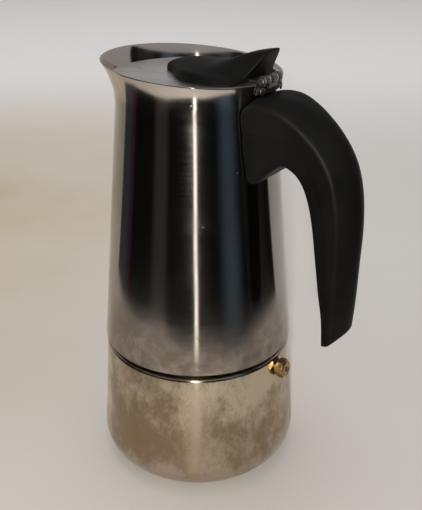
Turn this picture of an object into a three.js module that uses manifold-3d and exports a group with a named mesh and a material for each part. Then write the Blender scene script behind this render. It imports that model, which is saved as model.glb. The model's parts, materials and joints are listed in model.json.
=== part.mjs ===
// A stainless steel stovetop coffee maker (moka pot) as an assembly of separate solids.
//
// Millimetres, +Z up. The origin is the centre of the base, on the surface that the pot stands on.
// The handle points along +X and the pouring side of the rim is at -X.
// Water is heated in the boiler, rises through the funnel and its bed of coffee, through the
// filter plate and up the riser column, and collects in the upper pot.

import * as THREE from "three";
import { mergeVertices } from "three/addons/utils/BufferGeometryUtils.js";
import Module from "manifold-3d";

const wasm = await Module();
wasm.setup();

// ---------------------------------------------------------------- driving dimensions

const GAP = 0.3; // clearance between pieces that touch
const ROUND = 48; // facets round the large shells
const SMALL_ROUND = 24; // facets round small turned pieces

// Boiler
const BASE_FLAT_R = 36.5;
const BELLY_R = 50.4;
const BELLY_Z = 14;
const BOILER_TOP_R = 46.6;
const SHOULDER_Z = 65.8;
const SHOULDER_ROUND = 1.5;
const BOILER_WALL = 1;
const BASE_THICK = 1.5;
const NECK_R = 36.6;
const NECK_BORE_R = 35.2;
const NECK_TOP_Z = 79;

// Screw thread between the boiler's neck and the upper pot
const THREAD_PITCH = 3;
const THREAD_TURNS = 2.2;
const THREAD_HEIGHT = 0.55;
const THREAD_START_Z = 69.8;
const COLLAR_BORE_R = 38.4;
const COLLAR_R = 40;

// Upper pot
const SKIRT_Z = 68.5;
const SKIRT_R = 47;
const TAPER = 0.09302; // radius lost for each millimetre of height
const FLARE_Z = 184;
const FLARE_RATE = 0.01932; // radius gained above FLARE_Z, for each millimetre squared
const FLARE_TOP_Z = 206;
const POT_WALL = 0.85;
const RIM_Z = 200.54; // height of the slanted rim at the axis
const RIM_SLOPE = 0.0915; // the rim falls this much for each millimetre towards the handle
const FLOOR_Z = 83.7;
const FLOOR_THICK = 1.2;

// Funnel and filters
const FUNNEL_RIM_Z = NECK_TOP_Z + GAP;
const FUNNEL_SHEET = 0.8;
const CUP_R = 34.6;
const CUP_FLOOR_Z = 62;
const STEM_R = 5.4;
const STEM_BORE_R = 4.4;
const STEM_END_Z = 8;
const STRAINER_R = 32.8;
const STRAINER_Z = 64;
const FILTER_R = 33;
const FILTER_Z = 82.5;
const FILTER_THICK = 0.8;
const HOLE_R = 0.9;
const HOLE_RINGS = [6, 12, 18];
const HOLE_RING_STEP = 8;

// Riser column
const COLUMN_TOP_Z = 158;
const COLUMN_R = 5;
const COLUMN_BORE_R = 3.6;

// Safety valve, on an axis square to the boiler's wall
const VALVE_Z = 59.4;
const VALVE_TURN = 0.8; // degrees from +X towards +Y
const VALVE_FLATS = 8.4;
const VALVE_STUB_R = 3.3;

// Handle: its outer and inner edges in the XZ plane, from the pot to the free end
const HANDLE_OUTER = [
  [28, 187.5], [37, 192.4], [47, 193.6], [56, 191.2], [64.8, 185.6], [72.8, 178],
  [78.9, 168.8], [82.2, 156.6], [83.3, 142], [83.2, 124], [82.9, 106], [82.3, 93.8],
];
const HANDLE_INNER = [
  [28, 156.4], [39.5, 156.6], [44.4, 161.4], [49.8, 165], [55.2, 161.9], [58.9, 156.7],
  [61.6, 150], [64, 140], [66.1, 127], [68.5, 111.5], [70.9, 97], [71.7, 84],
];
const HANDLE_WIDTH = [16, 16, 15, 14, 13.3, 13, 13, 12.8, 12.6, 12.2, 11.7, 11];
const HANDLE_INNER_WIDTH = [15.6, 15.4, 13.4, 11.2, 9.6, 9, 9, 9, 9, 8.8, 8.4, 7.8];
const HANDLE_CROWN = [3.6, 3.8, 4.6, 6.4, 7.2, 7.2, 7, 6.6, 6, 5.4, 5, 4.6];
const HANDLE_FULLNESS = [5, 5, 4, 2.8, 2, 1.8, 1.8, 1.8, 1.8, 1.8, 1.9, 2];
const HANDLE_SEAM = [0.64, 0.62, 0.5, 0.43, 0.4, 0.37, 0.36, 0.36, 0.36, 0.36, 0.36, 0.36];
const HANDLE_STATIONS = 24;
const HANDLE_WALL = 2.6;

// Lid and its hinge
const HINGE_X = 37.3;
const HINGE_Z = 198.3;
const PIN_R = 1.2;
const KNUCKLE_R = 2.4;
const HINGE_HALF = 6.9;
const MIDDLE_KNUCKLE_HALF = 3;
const LID_R = 37.2;
const LID_Z = 197.5; // top of the lid at its edge
const LID_DISH = 0.7;
const LID_THICK = 0.8;
const LEAF_THICK = 0.8;
const LEAF_FRONT_X = 19;
const LEVER_SCREW_X = [6, 24];

// ---------------------------------------------------------------- materials

const finish = (color, roughness, metalness) =>
  new THREE.MeshStandardMaterial({ color, roughness, metalness });
const polishedSteel = finish(0xc9c8c6, 0.12, 1);
const satinSteel = finish(0xb3aca3, 0.38, 1);
const lidSteel = finish(0xbdbdbb, 0.45, 1);
const darkSteel = finish(0x57524b, 0.45, 1);
const pressedSteel = finish(0xaeb0b2, 0.3, 1);
const brass = finish(0x9c7a35, 0.35, 1);
const blackPlastic = finish(0x17181a, 0.42, 0);
const silicone = finish(0xd9d6cf, 0.7, 0);

// ---------------------------------------------------------------- solids

// A closed geometry as a manifold solid facing out.
function solid(geometry) {
  const bare = geometry.clone();
  bare.deleteAttribute("normal");
  bare.deleteAttribute("uv");
  const merged = mergeVertices(bare, 1e-4);
  const index = merged.index.array;
  const kept = [];
  for (let i = 0; i < index.length; i += 3) {
    const [a, b, c] = [index[i], index[i + 1], index[i + 2]];
    if (a !== b && b !== c && c !== a) kept.push(a, b, c);
  }
  const build = (triangles) =>
    new wasm.Manifold(
      new wasm.Mesh({
        numProp: 3,
        vertProperties: new Float32Array(merged.attributes.position.array),
        triVerts: new Uint32Array(triangles),
      }),
    );
  const made = build(kept);
  return made.volume() > 0 ? made : build(kept.reverse());
}

function geometryOf(manifold) {
  const mesh = manifold.getMesh();
  const geometry = new THREE.BufferGeometry();
  const positions = new Float32Array(mesh.vertProperties);
  geometry.setAttribute("position", new THREE.BufferAttribute(positions, mesh.numProp));
  geometry.setIndex(new THREE.BufferAttribute(new Uint32Array(mesh.triVerts), 1));
  geometry.computeVertexNormals();
  return geometry;
}

const union = (first, ...others) => others.reduce((a, b) => a.add(b), first);
const cut = (first, ...tools) => tools.reduce((a, b) => a.subtract(b), first);

// A profile of [radius, height] points turned about the Z axis. The profile starts and ends on
// the axis, or closes on itself.
function turned(profile, facets = ROUND) {
  const points = profile.map(([r, z]) => new THREE.Vector2(r, z));
  if (profile[0][0] > 0 || profile.at(-1)[0] > 0) points.push(points[0].clone());
  return solid(new THREE.LatheGeometry(points, facets).rotateX(Math.PI / 2));
}

// A turned profile laid along +X instead of +Z, from [radius, distance] points.
function turnedX(profile, facets = SMALL_ROUND) {
  const points = profile.map(([r, x]) => new THREE.Vector2(r, x));
  if (profile[0][0] > 0 || profile.at(-1)[0] > 0) points.push(points[0].clone());
  return solid(new THREE.LatheGeometry(points, facets).rotateZ(-Math.PI / 2));
}

// A cylinder between two heights, distances along X, or positions along Y.
const rodZ = (r, low, high, facets = SMALL_ROUND) =>
  turned([[0, low], [r, low], [r, high], [0, high]], facets);
const rodX = (r, low, high, facets = SMALL_ROUND) =>
  turnedX([[0, low], [r, low], [r, high], [0, high]], facets);
function rodY(r, x, z, low, high, facets = SMALL_ROUND) {
  const cylinder = new THREE.CylinderGeometry(r, r, high - low, facets);
  return solid(cylinder.translate(x, (low + high) / 2, z));
}

function box(x, y, z) {
  const geometry = new THREE.BoxGeometry(x[1] - x[0], y[1] - y[0], z[1] - z[0]);
  return solid(geometry.translate((x[0] + x[1]) / 2, (y[0] + y[1]) / 2, (z[0] + z[1]) / 2));
}

// An outline of [x, z] points pushed along Y.
function prismY(outline, low, high) {
  const shape = new THREE.Shape(outline.map(([x, z]) => new THREE.Vector2(x, z)));
  const geometry = new THREE.ExtrudeGeometry(shape, { depth: high - low, bevelEnabled: false });
  return solid(geometry.rotateX(Math.PI / 2).translate(0, high, 0));
}

// An outline of [y, z] points pushed along X.
function prismX(outline, low, high) {
  const shape = new THREE.Shape(outline.map(([y, z]) => new THREE.Vector2(y, z)));
  const geometry = new THREE.ExtrudeGeometry(shape, { depth: high - low, bevelEnabled: false });
  geometry.rotateZ(Math.PI / 2).rotateY(Math.PI / 2).translate(low, 0, 0);
  return solid(geometry);
}

// A skin through closed rings of points, capped at both ends. The end rings are convex.
function loft(rings) {
  const count = rings[0].length;
  const positions = rings.flat().flatMap((p) => [p.x, p.y, p.z]);
  const index = [];
  for (let s = 0; s + 1 < rings.length; s++) {
    for (let i = 0; i < count; i++) {
      const j = (i + 1) % count;
      const [a, b] = [s * count + i, s * count + j];
      index.push(a, b, b + count, a, b + count, a + count);
    }
  }
  const last = (rings.length - 1) * count;
  for (let i = 1; i + 1 < count; i++) {
    index.push(0, i + 1, i);
    index.push(last, last + i, last + i + 1);
  }
  const geometry = new THREE.BufferGeometry();
  geometry.setAttribute("position", new THREE.Float32BufferAttribute(positions, 3));
  geometry.setIndex(index);
  return solid(geometry);
}

// An arc of [a, b] points about a centre, angles in degrees.
function arc(centre, radius, from, to, steps) {
  return Array.from({ length: steps + 1 }, (_, i) => {
    const angle = THREE.MathUtils.degToRad(from + ((to - from) * i) / steps);
    return [centre[0] + radius * Math.cos(angle), centre[1] + radius * Math.sin(angle)];
  });
}

// A screw ridge from a root radius to a crest radius. A crest inside the root is an inner thread.
function screwRidge(root, crest) {
  const perTurn = 20;
  const fadeSteps = 5;
  const steps = Math.round(THREAD_TURNS * perTurn);
  const rings = [];
  for (let i = 0; i <= steps; i++) {
    const angle = (i / perTurn) * 2 * Math.PI;
    const z = THREAD_START_Z + (i / perTurn) * THREAD_PITCH;
    const fade = Math.min(1, i / fadeSteps, (steps - i) / fadeSteps) * 0.9 + 0.1;
    const tip = root + (crest - root) * fade;
    const foot = root - Math.sign(crest - root) * 0.4;
    const corners = [[foot, z - 0.8], [tip, z - 0.25], [tip, z + 0.25], [foot, z + 0.8]];
    const [cos, sin] = [Math.cos(angle), Math.sin(angle)];
    rings.push(corners.map(([r, h]) => new THREE.Vector3(r * cos, r * sin, h)));
  }
  return loft(rings);
}

// Round holes through a plate: one in the middle, and rings of them.
function plateHoles(low, high) {
  const places = [[0, 0]];
  HOLE_RINGS.forEach((count, ring) => {
    const radius = HOLE_RING_STEP * (ring + 1);
    for (let i = 0; i < count; i++) {
      const angle = (2 * Math.PI * (i + 0.5 * (ring % 2))) / count;
      places.push([radius * Math.cos(angle), radius * Math.sin(angle)]);
    }
  });
  return places.map(([x, y]) => rodZ(HOLE_R, low, high, 5).translate([x, y, 0]));
}

const pot = new THREE.Group();

function add(name, manifold, material, parent = pot) {
  const mesh = new THREE.Mesh(geometryOf(manifold), material);
  mesh.name = name;
  parent.add(mesh);
  return mesh;
}

// ---------------------------------------------------------------- safety valve

// The boiler's outer radius at a height on its straight side.
const sideSlope = (BELLY_R - BOILER_TOP_R) / (SHOULDER_Z - SHOULDER_ROUND - BELLY_Z);
const sideR = (z) => BELLY_R - (z - BELLY_Z) * sideSlope;

// A group whose +X runs out of the boiler's wall, square to it, from a point on its outer face.
const valve = new THREE.Group();
valve.rotation.set(0, -Math.atan(sideSlope), THREE.MathUtils.degToRad(VALVE_TURN), "ZYX");
valve.position.set(sideR(VALVE_Z), 0, VALVE_Z);
valve.position.applyAxisAngle(new THREE.Vector3(0, 0, 1), THREE.MathUtils.degToRad(VALVE_TURN));
valve.updateMatrix();
pot.add(valve);

// A hexagonal bar along X, with the corners of its outer end turned off where asked.
function hexBar(flats, low, high, chamfer = 0) {
  const corner = flats / Math.sqrt(3);
  const bar = rodX(corner, low, high, 6);
  if (chamfer === 0) return bar;
  const end = [
    [0, low],
    [corner + 1, low],
    [corner + 1, high - 2 * chamfer],
    [flats / 2 - chamfer, high],
    [0, high],
  ];
  return bar.intersect(turnedX(end, ROUND));
}

function makeValve() {
  const [hexIn, hexOut] = [0.9, 5.1];
  const stubEnd = -6.5;
  const seat = -4.5;
  const boreEnd = 4;
  const collar = rodX(3.8, GAP, hexIn + 0.5);
  const stub = rodX(VALVE_STUB_R, stubEnd, GAP + 0.2);
  const hexagon = hexBar(VALVE_FLATS, hexIn, hexOut, 0.9).rotate([30, 0, 0]);
  const outside = union(hexagon, collar, stub);
  const bores = [
    rodX(2.4, seat, boreEnd),
    rodX(1.3, stubEnd - 1, seat + 0.5, 20),
    rodX(1.1, boreEnd - 0.5, hexOut + 1, 20),
  ];
  add("valve_body", cut(outside, ...bores), brass, valve);

  const bore = VALVE_STUB_R + GAP;
  const washerOut = -BOILER_WALL - 1.5 * GAP;
  const washerIn = washerOut - 0.8;
  const washer = [[bore, washerIn], [4.7, washerIn], [4.7, washerOut], [bore, washerOut]];
  add("valve_washer", turnedX(washer), silicone, valve);

  const nutFace = washerIn - GAP;
  const nut = hexBar(8.4, nutFace - 3, nutFace);
  add("valve_nut", nut.subtract(rodX(bore, nutFace - 4, nutFace + 1)), brass, valve);

  const plungerIn = seat + GAP;
  const plungerOut = plungerIn + 1.3;
  const pin = union(rodX(2, plungerIn, plungerOut, 20), rodX(0.8, plungerIn + 0.5, hexOut + 1.1, 12));
  add("valve_pin", pin, darkSteel, valve);

  const [springIn, springOut] = [plungerOut + GAP, boreEnd - GAP];
  const wire = 0.3;
  const coil = 1.6;
  const turns = 5;
  const perTurn = 10;
  const rings = [];
  for (let i = 0; i <= turns * perTurn; i++) {
    const angle = (i / perTurn) * 2 * Math.PI;
    const x = springIn + wire + ((springOut - springIn - 2 * wire) * i) / (turns * perTurn);
    const section = arc([coil, x], wire, 0, 288, 4);
    const [cos, sin] = [Math.cos(angle), Math.sin(angle)];
    rings.push(section.map(([r, out]) => new THREE.Vector3(out, r * cos, r * sin)));
  }
  add("valve_spring", loft(rings), pressedSteel, valve);
}

// ---------------------------------------------------------------- boiler

function makeBoiler() {
  const cornerR = BELLY_R - BASE_FLAT_R;
  const slant = THREE.MathUtils.radToDeg(Math.atan(sideSlope));
  const corner = arc([BASE_FLAT_R, BELLY_Z], cornerR, -90, slant, 5);
  const shoulderCentre = [BOILER_TOP_R - SHOULDER_ROUND, SHOULDER_Z - SHOULDER_ROUND];
  const shoulder = arc(shoulderCentre, SHOULDER_ROUND, slant, 86, 3);
  const innerShoulder = arc(shoulderCentre, SHOULDER_ROUND - BOILER_WALL, 86, slant, 2);
  const innerCorner = arc([BASE_FLAT_R, BELLY_Z], cornerR - BASE_THICK + 0.3, slant, -90, 4);
  const profile = [
    [0, 0],
    ...corner,
    ...shoulder,
    [NECK_R + 5, SHOULDER_Z - 0.2],
    [NECK_R + 1.2, SHOULDER_Z - 0.2],
    [NECK_R, SHOULDER_Z + 0.8],
    [NECK_R, NECK_TOP_Z],
    [NECK_BORE_R, NECK_TOP_Z],
    [NECK_BORE_R, SHOULDER_Z + 0.4],
    [NECK_R + 0.6, SHOULDER_Z - 1.2],
    ...innerShoulder,
    ...innerCorner,
    [0, BASE_THICK],
  ];
  const shell = union(turned(profile), screwRidge(NECK_R, NECK_R + THREAD_HEIGHT));
  const hole = rodX(VALVE_STUB_R + GAP, -6, 4, 24).transform(valve.matrix.elements);
  add("boiler_shell", shell.subtract(hole), satinSteel);
}

// ---------------------------------------------------------------- funnel, gasket and filters

function makeFunnel() {
  const rimTop = FUNNEL_RIM_Z + FUNNEL_SHEET;
  const collarR = STEM_R + GAP;
  const floorR = 7.5;
  const floorLow = 58;
  const cup = [
    [collarR, floorLow - 4],
    [collarR + FUNNEL_SHEET, floorLow - 4],
    [collarR + FUNNEL_SHEET + 0.4, floorLow],
    [CUP_R - 3, CUP_FLOOR_Z - FUNNEL_SHEET - 0.5],
    [CUP_R, CUP_FLOOR_Z + 2],
    [CUP_R, FUNNEL_RIM_Z],
    [NECK_R + 0.2, FUNNEL_RIM_Z],
    [NECK_R + 0.2, rimTop],
    [CUP_R - FUNNEL_SHEET, rimTop],
    [CUP_R - FUNNEL_SHEET, CUP_FLOOR_Z + 2.4],
    [CUP_R - 3.4, CUP_FLOOR_Z + 0.3],
    [floorR, floorLow + FUNNEL_SHEET + 0.2],
    [collarR, floorLow],
  ];
  add("funnel_cup", turned(cup), pressedSteel);

  const stemTop = floorLow - GAP;
  const stem = rodZ(STEM_R, STEM_END_Z, stemTop);
  const slant = rodY(10, 0, STEM_END_Z - 8.6, -10, 10, 40);
  add("funnel_tube", cut(stem, rodZ(STEM_BORE_R, STEM_END_Z - 1, stemTop + 1), slant), pressedSteel);

  const strainer = rodZ(STRAINER_R, STRAINER_Z, STRAINER_Z + FUNNEL_SHEET, ROUND);
  add("funnel_strainer", cut(strainer, ...plateHoles(STRAINER_Z - 1, STRAINER_Z + 2)), pressedSteel);

  const filter = rodZ(FILTER_R, FILTER_Z, FILTER_Z + FILTER_THICK, ROUND);
  add("filter_plate", cut(filter, ...plateHoles(FILTER_Z - 1, FILTER_Z + 2)), pressedSteel);

  const gasket = [
    [FILTER_R - 2.5, rimTop + GAP],
    [COLLAR_BORE_R - 1, rimTop + GAP],
    [COLLAR_BORE_R - 1, FLOOR_Z - GAP],
    [FILTER_R + GAP, FLOOR_Z - GAP],
    [FILTER_R + GAP, FILTER_Z - GAP],
    [FILTER_R - 2.5, FILTER_Z - GAP],
  ];
  add("gasket_ring", turned(gasket), silicone);
}

// ---------------------------------------------------------------- upper pot

// The pot's outer radius at a height: a straight taper that flares out below the rim.
const potR = (z) => SKIRT_R - TAPER * (z - SKIRT_Z) + FLARE_RATE * Math.max(0, z - FLARE_Z) ** 2;

// The pot's side, offset outwards, from one height to another.
function potSide(offset, low, high) {
  const heights = [low, FLARE_Z, ...[...Array(7)].map((_, i) => FLARE_Z + 3.1 * (i + 1)), high];
  const between = heights.filter((z) => z >= low && z <= high);
  return [...new Set(between)].sort((a, b) => a - b).map((z) => [potR(z) + offset, z]);
}

// A band round the pot's side between two offsets from its outer face.
const potBand = (near, far, low, high) =>
  turned([...potSide(far, low, high), ...potSide(near, low, high).reverse()]);

function makePot() {
  const side = potBand(-POT_WALL, 0, SKIRT_Z, FLARE_TOP_Z);
  const rimAt = (x) => RIM_Z - RIM_SLOPE * x;
  const above = prismY([[-70, rimAt(-70)], [70, rimAt(70)], [70, 230], [-70, 230]], -70, 70);
  const notch = box([30, 45], [-HINGE_HALF - 1.6, HINGE_HALF + 1.6], [HINGE_Z - KNUCKLE_R - 0.7, 215]);
  add("upper_shell", cut(side, above, notch), polishedSteel);

  const floorR = potR(FLOOR_Z + FLOOR_THICK) - POT_WALL - GAP;
  const floor = rodZ(floorR, FLOOR_Z, FLOOR_Z + FLOOR_THICK, ROUND);
  add("pot_floor", floor.subtract(rodZ(7.3, FLOOR_Z - 1, FLOOR_Z + 3)), pressedSteel);

  const skirt = SKIRT_Z + 0.6;
  const collar = turned([
    [COLLAR_BORE_R, skirt],
    [potR(skirt) - POT_WALL - GAP, skirt],
    [potR(skirt) - POT_WALL - GAP - 0.1, skirt + 1],
    [COLLAR_R, skirt + 1],
    [COLLAR_R, FLOOR_Z - GAP],
    [COLLAR_BORE_R, FLOOR_Z - GAP],
  ]);
  const ridge = screwRidge(COLLAR_BORE_R, COLLAR_BORE_R - THREAD_HEIGHT);
  add("thread_collar", collar.add(ridge), pressedSteel);

  const foot = FLOOR_Z + FLOOR_THICK + GAP;
  const column = [
    [COLUMN_BORE_R, FLOOR_Z + GAP],
    [7, FLOOR_Z + GAP],
    [7, foot],
    [12, foot],
    [12, foot + 0.8],
    [9, foot + 1.4],
    [COLUMN_R + 1.4, foot + 14],
    [COLUMN_R, foot + 34],
    [COLUMN_R, COLUMN_TOP_Z],
    [COLUMN_BORE_R, COLUMN_TOP_Z],
  ];
  add("riser_column", turned(column, SMALL_ROUND), pressedSteel);

  const capBore = COLUMN_R + GAP;
  const capR = capBore + 1.2;
  const capLow = COLUMN_TOP_Z - 5;
  const capHigh = COLUMN_TOP_Z + 9;
  const cap = turned(
    [
      [capBore, capLow],
      [capR, capLow],
      [capR, capHigh - 4],
      ...arc([capR - 4, capHigh - 4], 4, 15, 90, 5),
      [0, capHigh],
      [0, capHigh - 1.2],
      [capBore - 2.6, capHigh - 1.4],
      [capBore, capHigh - 3.6],
    ],
    SMALL_ROUND,
  );
  const slots = box([-10, 10], [-2, 2], [COLUMN_TOP_Z + 1, COLUMN_TOP_Z + 5]);
  add("riser_cap", cap.subtract(slots), pressedSteel);
}

// ---------------------------------------------------------------- handle

// The value of a list of numbers at a fraction along it, read off a smooth curve.
function along(list, t) {
  const curve = new THREE.CatmullRomCurve3(list.map((v) => new THREE.Vector3(v, 0, 0)));
  return curve.getPoint(t).x;
}

const planeCurve = (list) =>
  new THREE.CatmullRomCurve3(list.map(([x, z]) => new THREE.Vector3(x, 0, z)));
const outerEdge = planeCurve(HANDLE_OUTER);
const innerEdge = planeCurve(HANDLE_INNER);

// A frame across the handle at a fraction along it: [depth, y] to a point in space, where depth
// runs from the inner edge to the outer one.
function handleStation(t) {
  const inner = innerEdge.getPoint(t);
  const outer = outerEdge.getPoint(t);
  const depth = outer.distanceTo(inner);
  const across = outer.clone().sub(inner).divideScalar(depth);
  const tangent = outerEdge.getTangent(t);
  const lean = Math.abs(-tangent.z * across.x + tangent.x * across.z);
  const point = (d, y) => inner.clone().addScaledVector(across, d).setY(y);
  const width = along(HANDLE_WIDTH, t);
  const innerWidth = along(HANDLE_INNER_WIDTH, t);
  return { depth, lean, point, width, innerWidth };
}

// Half of the handle's section, from its outer crest to its inner edge.
function handleHalf(t, inset = 0) {
  const { depth, lean, width, innerWidth } = handleStation(t);
  const crown = along(HANDLE_CROWN, t) / lean;
  const fullness = along(HANDLE_FULLNESS, t);
  const half = [];
  for (let k = 0; k <= 5; k++) {
    const y = Math.sin((k / 5) * (Math.PI / 2));
    half.push([depth - inset - crown * y ** fullness, (width - inset) * y]);
  }
  const corner = 2;
  const [d, w] = [depth - inset - crown, width - inset];
  const inner = innerWidth - inset;
  half.push([d * 0.5 + corner * 0.5, (w + inner) / 2 + 0.4]);
  half.push([corner + inset, inner]);
  half.push([0.6 + inset, inner - 0.8]);
  half.push([inset, inner - 2.4]);
  return half;
}

function handleRing(t, half) {
  const { point } = handleStation(t);
  const near = half.map(([d, y]) => point(d, -y));
  const far = half.filter(([, y]) => y > 0).map(([d, y]) => point(d, y));
  return [...near, ...far.reverse()];
}

// A block between two fractions of the handle's depth, each moved by a distance, of a half-width.
function handleBlock(from, to, low, high, halfWidth) {
  const rings = [];
  for (let i = 0; i <= HANDLE_STATIONS; i++) {
    const t = from + ((to - from) * i) / HANDLE_STATIONS;
    const { depth, point } = handleStation(t);
    const [d0, d1, w] = [low(t, depth), high(t, depth), halfWidth(t)];
    rings.push([point(d0, -w), point(d1, -w), point(d1, w), point(d0, w)]);
  }
  return loft(rings);
}

const seamDepth = (t, depth) => along(HANDLE_SEAM, t) * depth;

function makeHandle() {
  const rings = [];
  for (let i = 0; i <= HANDLE_STATIONS; i++) {
    const t = i / HANDLE_STATIONS;
    rings.push(handleRing(t, handleHalf(t)));
  }
  const endCaps = [[0.8, 0.9], [2.2, 1.6]].map(([inset, drop]) =>
    handleRing(1, handleHalf(1, inset)).map((p) => p.add(new THREE.Vector3(0.1, 0, -drop))),
  );
  const whole = loft([...rings, ...endCaps]);

  // The foot follows the pot's side.
  const body = turned([[0, 140], ...potSide(GAP, 140, FLARE_TOP_Z), [0, FLARE_TOP_Z]]);
  const wide = () => 30;
  const shellSide = handleBlock(0, 1, (t, d) => seamDepth(t, d) + GAP / 2, (t, d) => d + 6, wide);
  const coverEnd = 0.955;
  const coverSide = handleBlock(0, coverEnd, () => -1.5, (t, d) => seamDepth(t, d) - GAP / 2, wide);
  const coverCut = handleBlock(
    0, coverEnd + 0.0025, () => -1.5, (t, d) => seamDepth(t, d) + GAP / 2, wide);

  // Each half is hollow and open towards the other.
  const [hollowFrom, hollowTo] = [0.16, 0.9];
  const innerHalf = (t) => handleStation(t).innerWidth - HANDLE_WALL;
  const crownAt = (t) => along(HANDLE_CROWN, t) / handleStation(t).lean;
  const roof = (t, d) => d - crownAt(t) * 0.55 - HANDLE_WALL;
  const shellHollow = handleBlock(
    hollowFrom, hollowTo, (t, d) => seamDepth(t, d) - 1, roof, innerHalf);
  const coverHollow = handleBlock(
    hollowFrom, hollowTo, () => HANDLE_WALL, (t, d) => seamDepth(t, d) + 1, (t) => innerHalf(t) - 1);

  // The bracket on the pot, with a threaded boss for each half of the handle.
  const bosses = [184.5, 168.5];
  const bossX = 43.5;
  const bossR = 3.2;
  const screwR = 1.7;
  const plateBox = (extra) => box([30, 50], [-9 - extra, 9 + extra], [161.5 - extra, 189.5 + extra]);
  const at = (z, tool) => tool.translate([0, 0, z]);
  const bossRods = bosses.map((z) => at(z, rodX(bossR, 37.5, bossX)));
  const bossBores = bosses.map((z) => at(z, rodX(screwR, 39.6, bossX + 1)));
  const trim = turned([[0, 150], ...potSide(GAP, 150, 200), [0, 200]]);
  const bracket = union(potBand(GAP, 1.5, 155, 195).intersect(plateBox(0)), ...bossRods);
  add("handle_bracket", cut(bracket, trim, ...bossBores), satinSteel);

  const pocket = potBand(-2, 1.5 + GAP, 155, 195).intersect(plateBox(GAP));
  const headX = 47.5;
  const sockets = bosses.map((z) => at(z, rodX(bossR + GAP, 36, bossX + GAP)));
  const shanks = bosses.map((z) => at(z, rodX(2, 40, headX + 1)));
  const seats = bosses.map((z) => at(z, rodX(3.6, headX, 53.5)));
  const fixings = [pocket, ...sockets, ...shanks, ...seats];
  const shell = cut(whole.intersect(shellSide.add(cut(whole, coverCut))), body, shellHollow, ...fixings);
  const cover = cut(whole.intersect(coverSide), body, coverHollow, ...fixings);
  add("handle_shell", shell, blackPlastic);
  add("handle_cover", cover, blackPlastic);

  bosses.forEach((z, i) => {
    const slot = box([headX + 1.9, headX + 3], [-3.5, 3.5], [z - 0.4, z + 0.4]);
    const screw = union(rodX(screwR - GAP, 40.2, headX + 1), rodX(3, headX + GAP, headX + 2.6));
    const name = i === 0 ? "handle_screw_upper" : "handle_screw_lower";
    add(name, at(z, screw).subtract(slot), darkSteel);
  });
}

// ---------------------------------------------------------------- hinge

function makeHinge() {
  // The bracket: a wide foot riveted to the flare, a tongue that rises from it, and a knuckle.
  const [footLow, footHigh] = [193.2, 196.7];
  const footOut = 1.2;
  const wing = 9.8;
  const rivetY = 7.4;
  const rivetZ = 194.5;
  const outline = [
    [-wing, footLow],
    [wing, footLow],
    [wing, footHigh - 0.6],
    [wing - 1.4, footHigh],
    [1.4 - wing, footHigh],
    [-wing, footHigh - 0.6],
  ];
  const foot = potBand(GAP, footOut, footLow - 1, footHigh + 1).intersect(prismX(outline, 25, 50));
  const tongueSide = [[37.9, 194.2], [39.3, 195.2], [39.45, HINGE_Z], [38.6, HINGE_Z], [37.7, 196.4]];
  const tongue = prismY(tongueSide, -MIDDLE_KNUCKLE_HALF, MIDDLE_KNUCKLE_HALF);
  const knuckle = rodY(KNUCKLE_R, HINGE_X, HINGE_Z, -MIDDLE_KNUCKLE_HALF, MIDDLE_KNUCKLE_HALF);
  const bore = rodY(PIN_R + 0.1, HINGE_X, HINGE_Z, -20, 20);
  const face = potR(rivetZ);
  const rivetAngle = THREE.MathUtils.radToDeg(Math.asin(rivetY / face));
  const rivetAt = (side, tool) => tool.translate([0, 0, rivetZ]).rotate([0, 0, side * rivetAngle]);
  const holes = [-1, 1].map((side) => rivetAt(side, rodX(0.95, face - 4, face + 4, 16)));
  const roomHalf = HINGE_HALF + 1.6;
  const room = box([34, 50], [-roomHalf, roomHalf], [HINGE_Z - KNUCKLE_R - GAP, 215]);
  const sheet = union(cut(foot, room), tongue, knuckle);
  add("hinge_bracket", cut(sheet, bore, ...holes), darkSteel);

  // The pot's wall is pierced for the rivets.
  const shell = pot.children.find((mesh) => mesh.name === "upper_shell");
  shell.geometry = geometryOf(cut(solid(shell.geometry), ...holes));

  const headFace = face + footOut + 0.5;
  const head = [[1.7, 0], [1.4, 0.5], [0.7, 0.8], [0, 0.9]].map(([r, out]) => [r, headFace + out]);
  const clinch = [[0, face - 2.2], [1.6, face - 1.9], [1.6, face - 1.4], [0, face - 1.4]];
  [-1, 1].forEach((side) => {
    const shank = rodX(0.65, face - 2, headFace + 0.2, 12);
    const rivet = union(shank, turnedX([[0, headFace], ...head], 14), turnedX(clinch, 14));
    add(side < 0 ? "hinge_rivet_near" : "hinge_rivet_far", rivetAt(side, rivet), darkSteel);
  });

  const pinHead = (from, to) => rodY(1.7, HINGE_X, HINGE_Z, from, to, 20);
  const [headNear, headFar] = [HINGE_HALF + GAP, HINGE_HALF + 1];
  const pin = rodY(PIN_R, HINGE_X, HINGE_Z, -headNear - 0.2, headNear + 0.2);
  const heads = [pinHead(-headFar, -headNear), pinHead(headNear, headFar)];
  add("hinge_pin", union(pin, ...heads), darkSteel);
}

// ---------------------------------------------------------------- lid

// Height of the lid's dished top at a radius, and its face moved up by a distance.
const lidTop = (r) => LID_Z - LID_DISH * (1 - (r / LID_R) ** 2);
const lidFace = (rise) => [0, 14, 24, 31, LID_R - 0.3].map((r) => [r, lidTop(r) + rise]);

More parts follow.
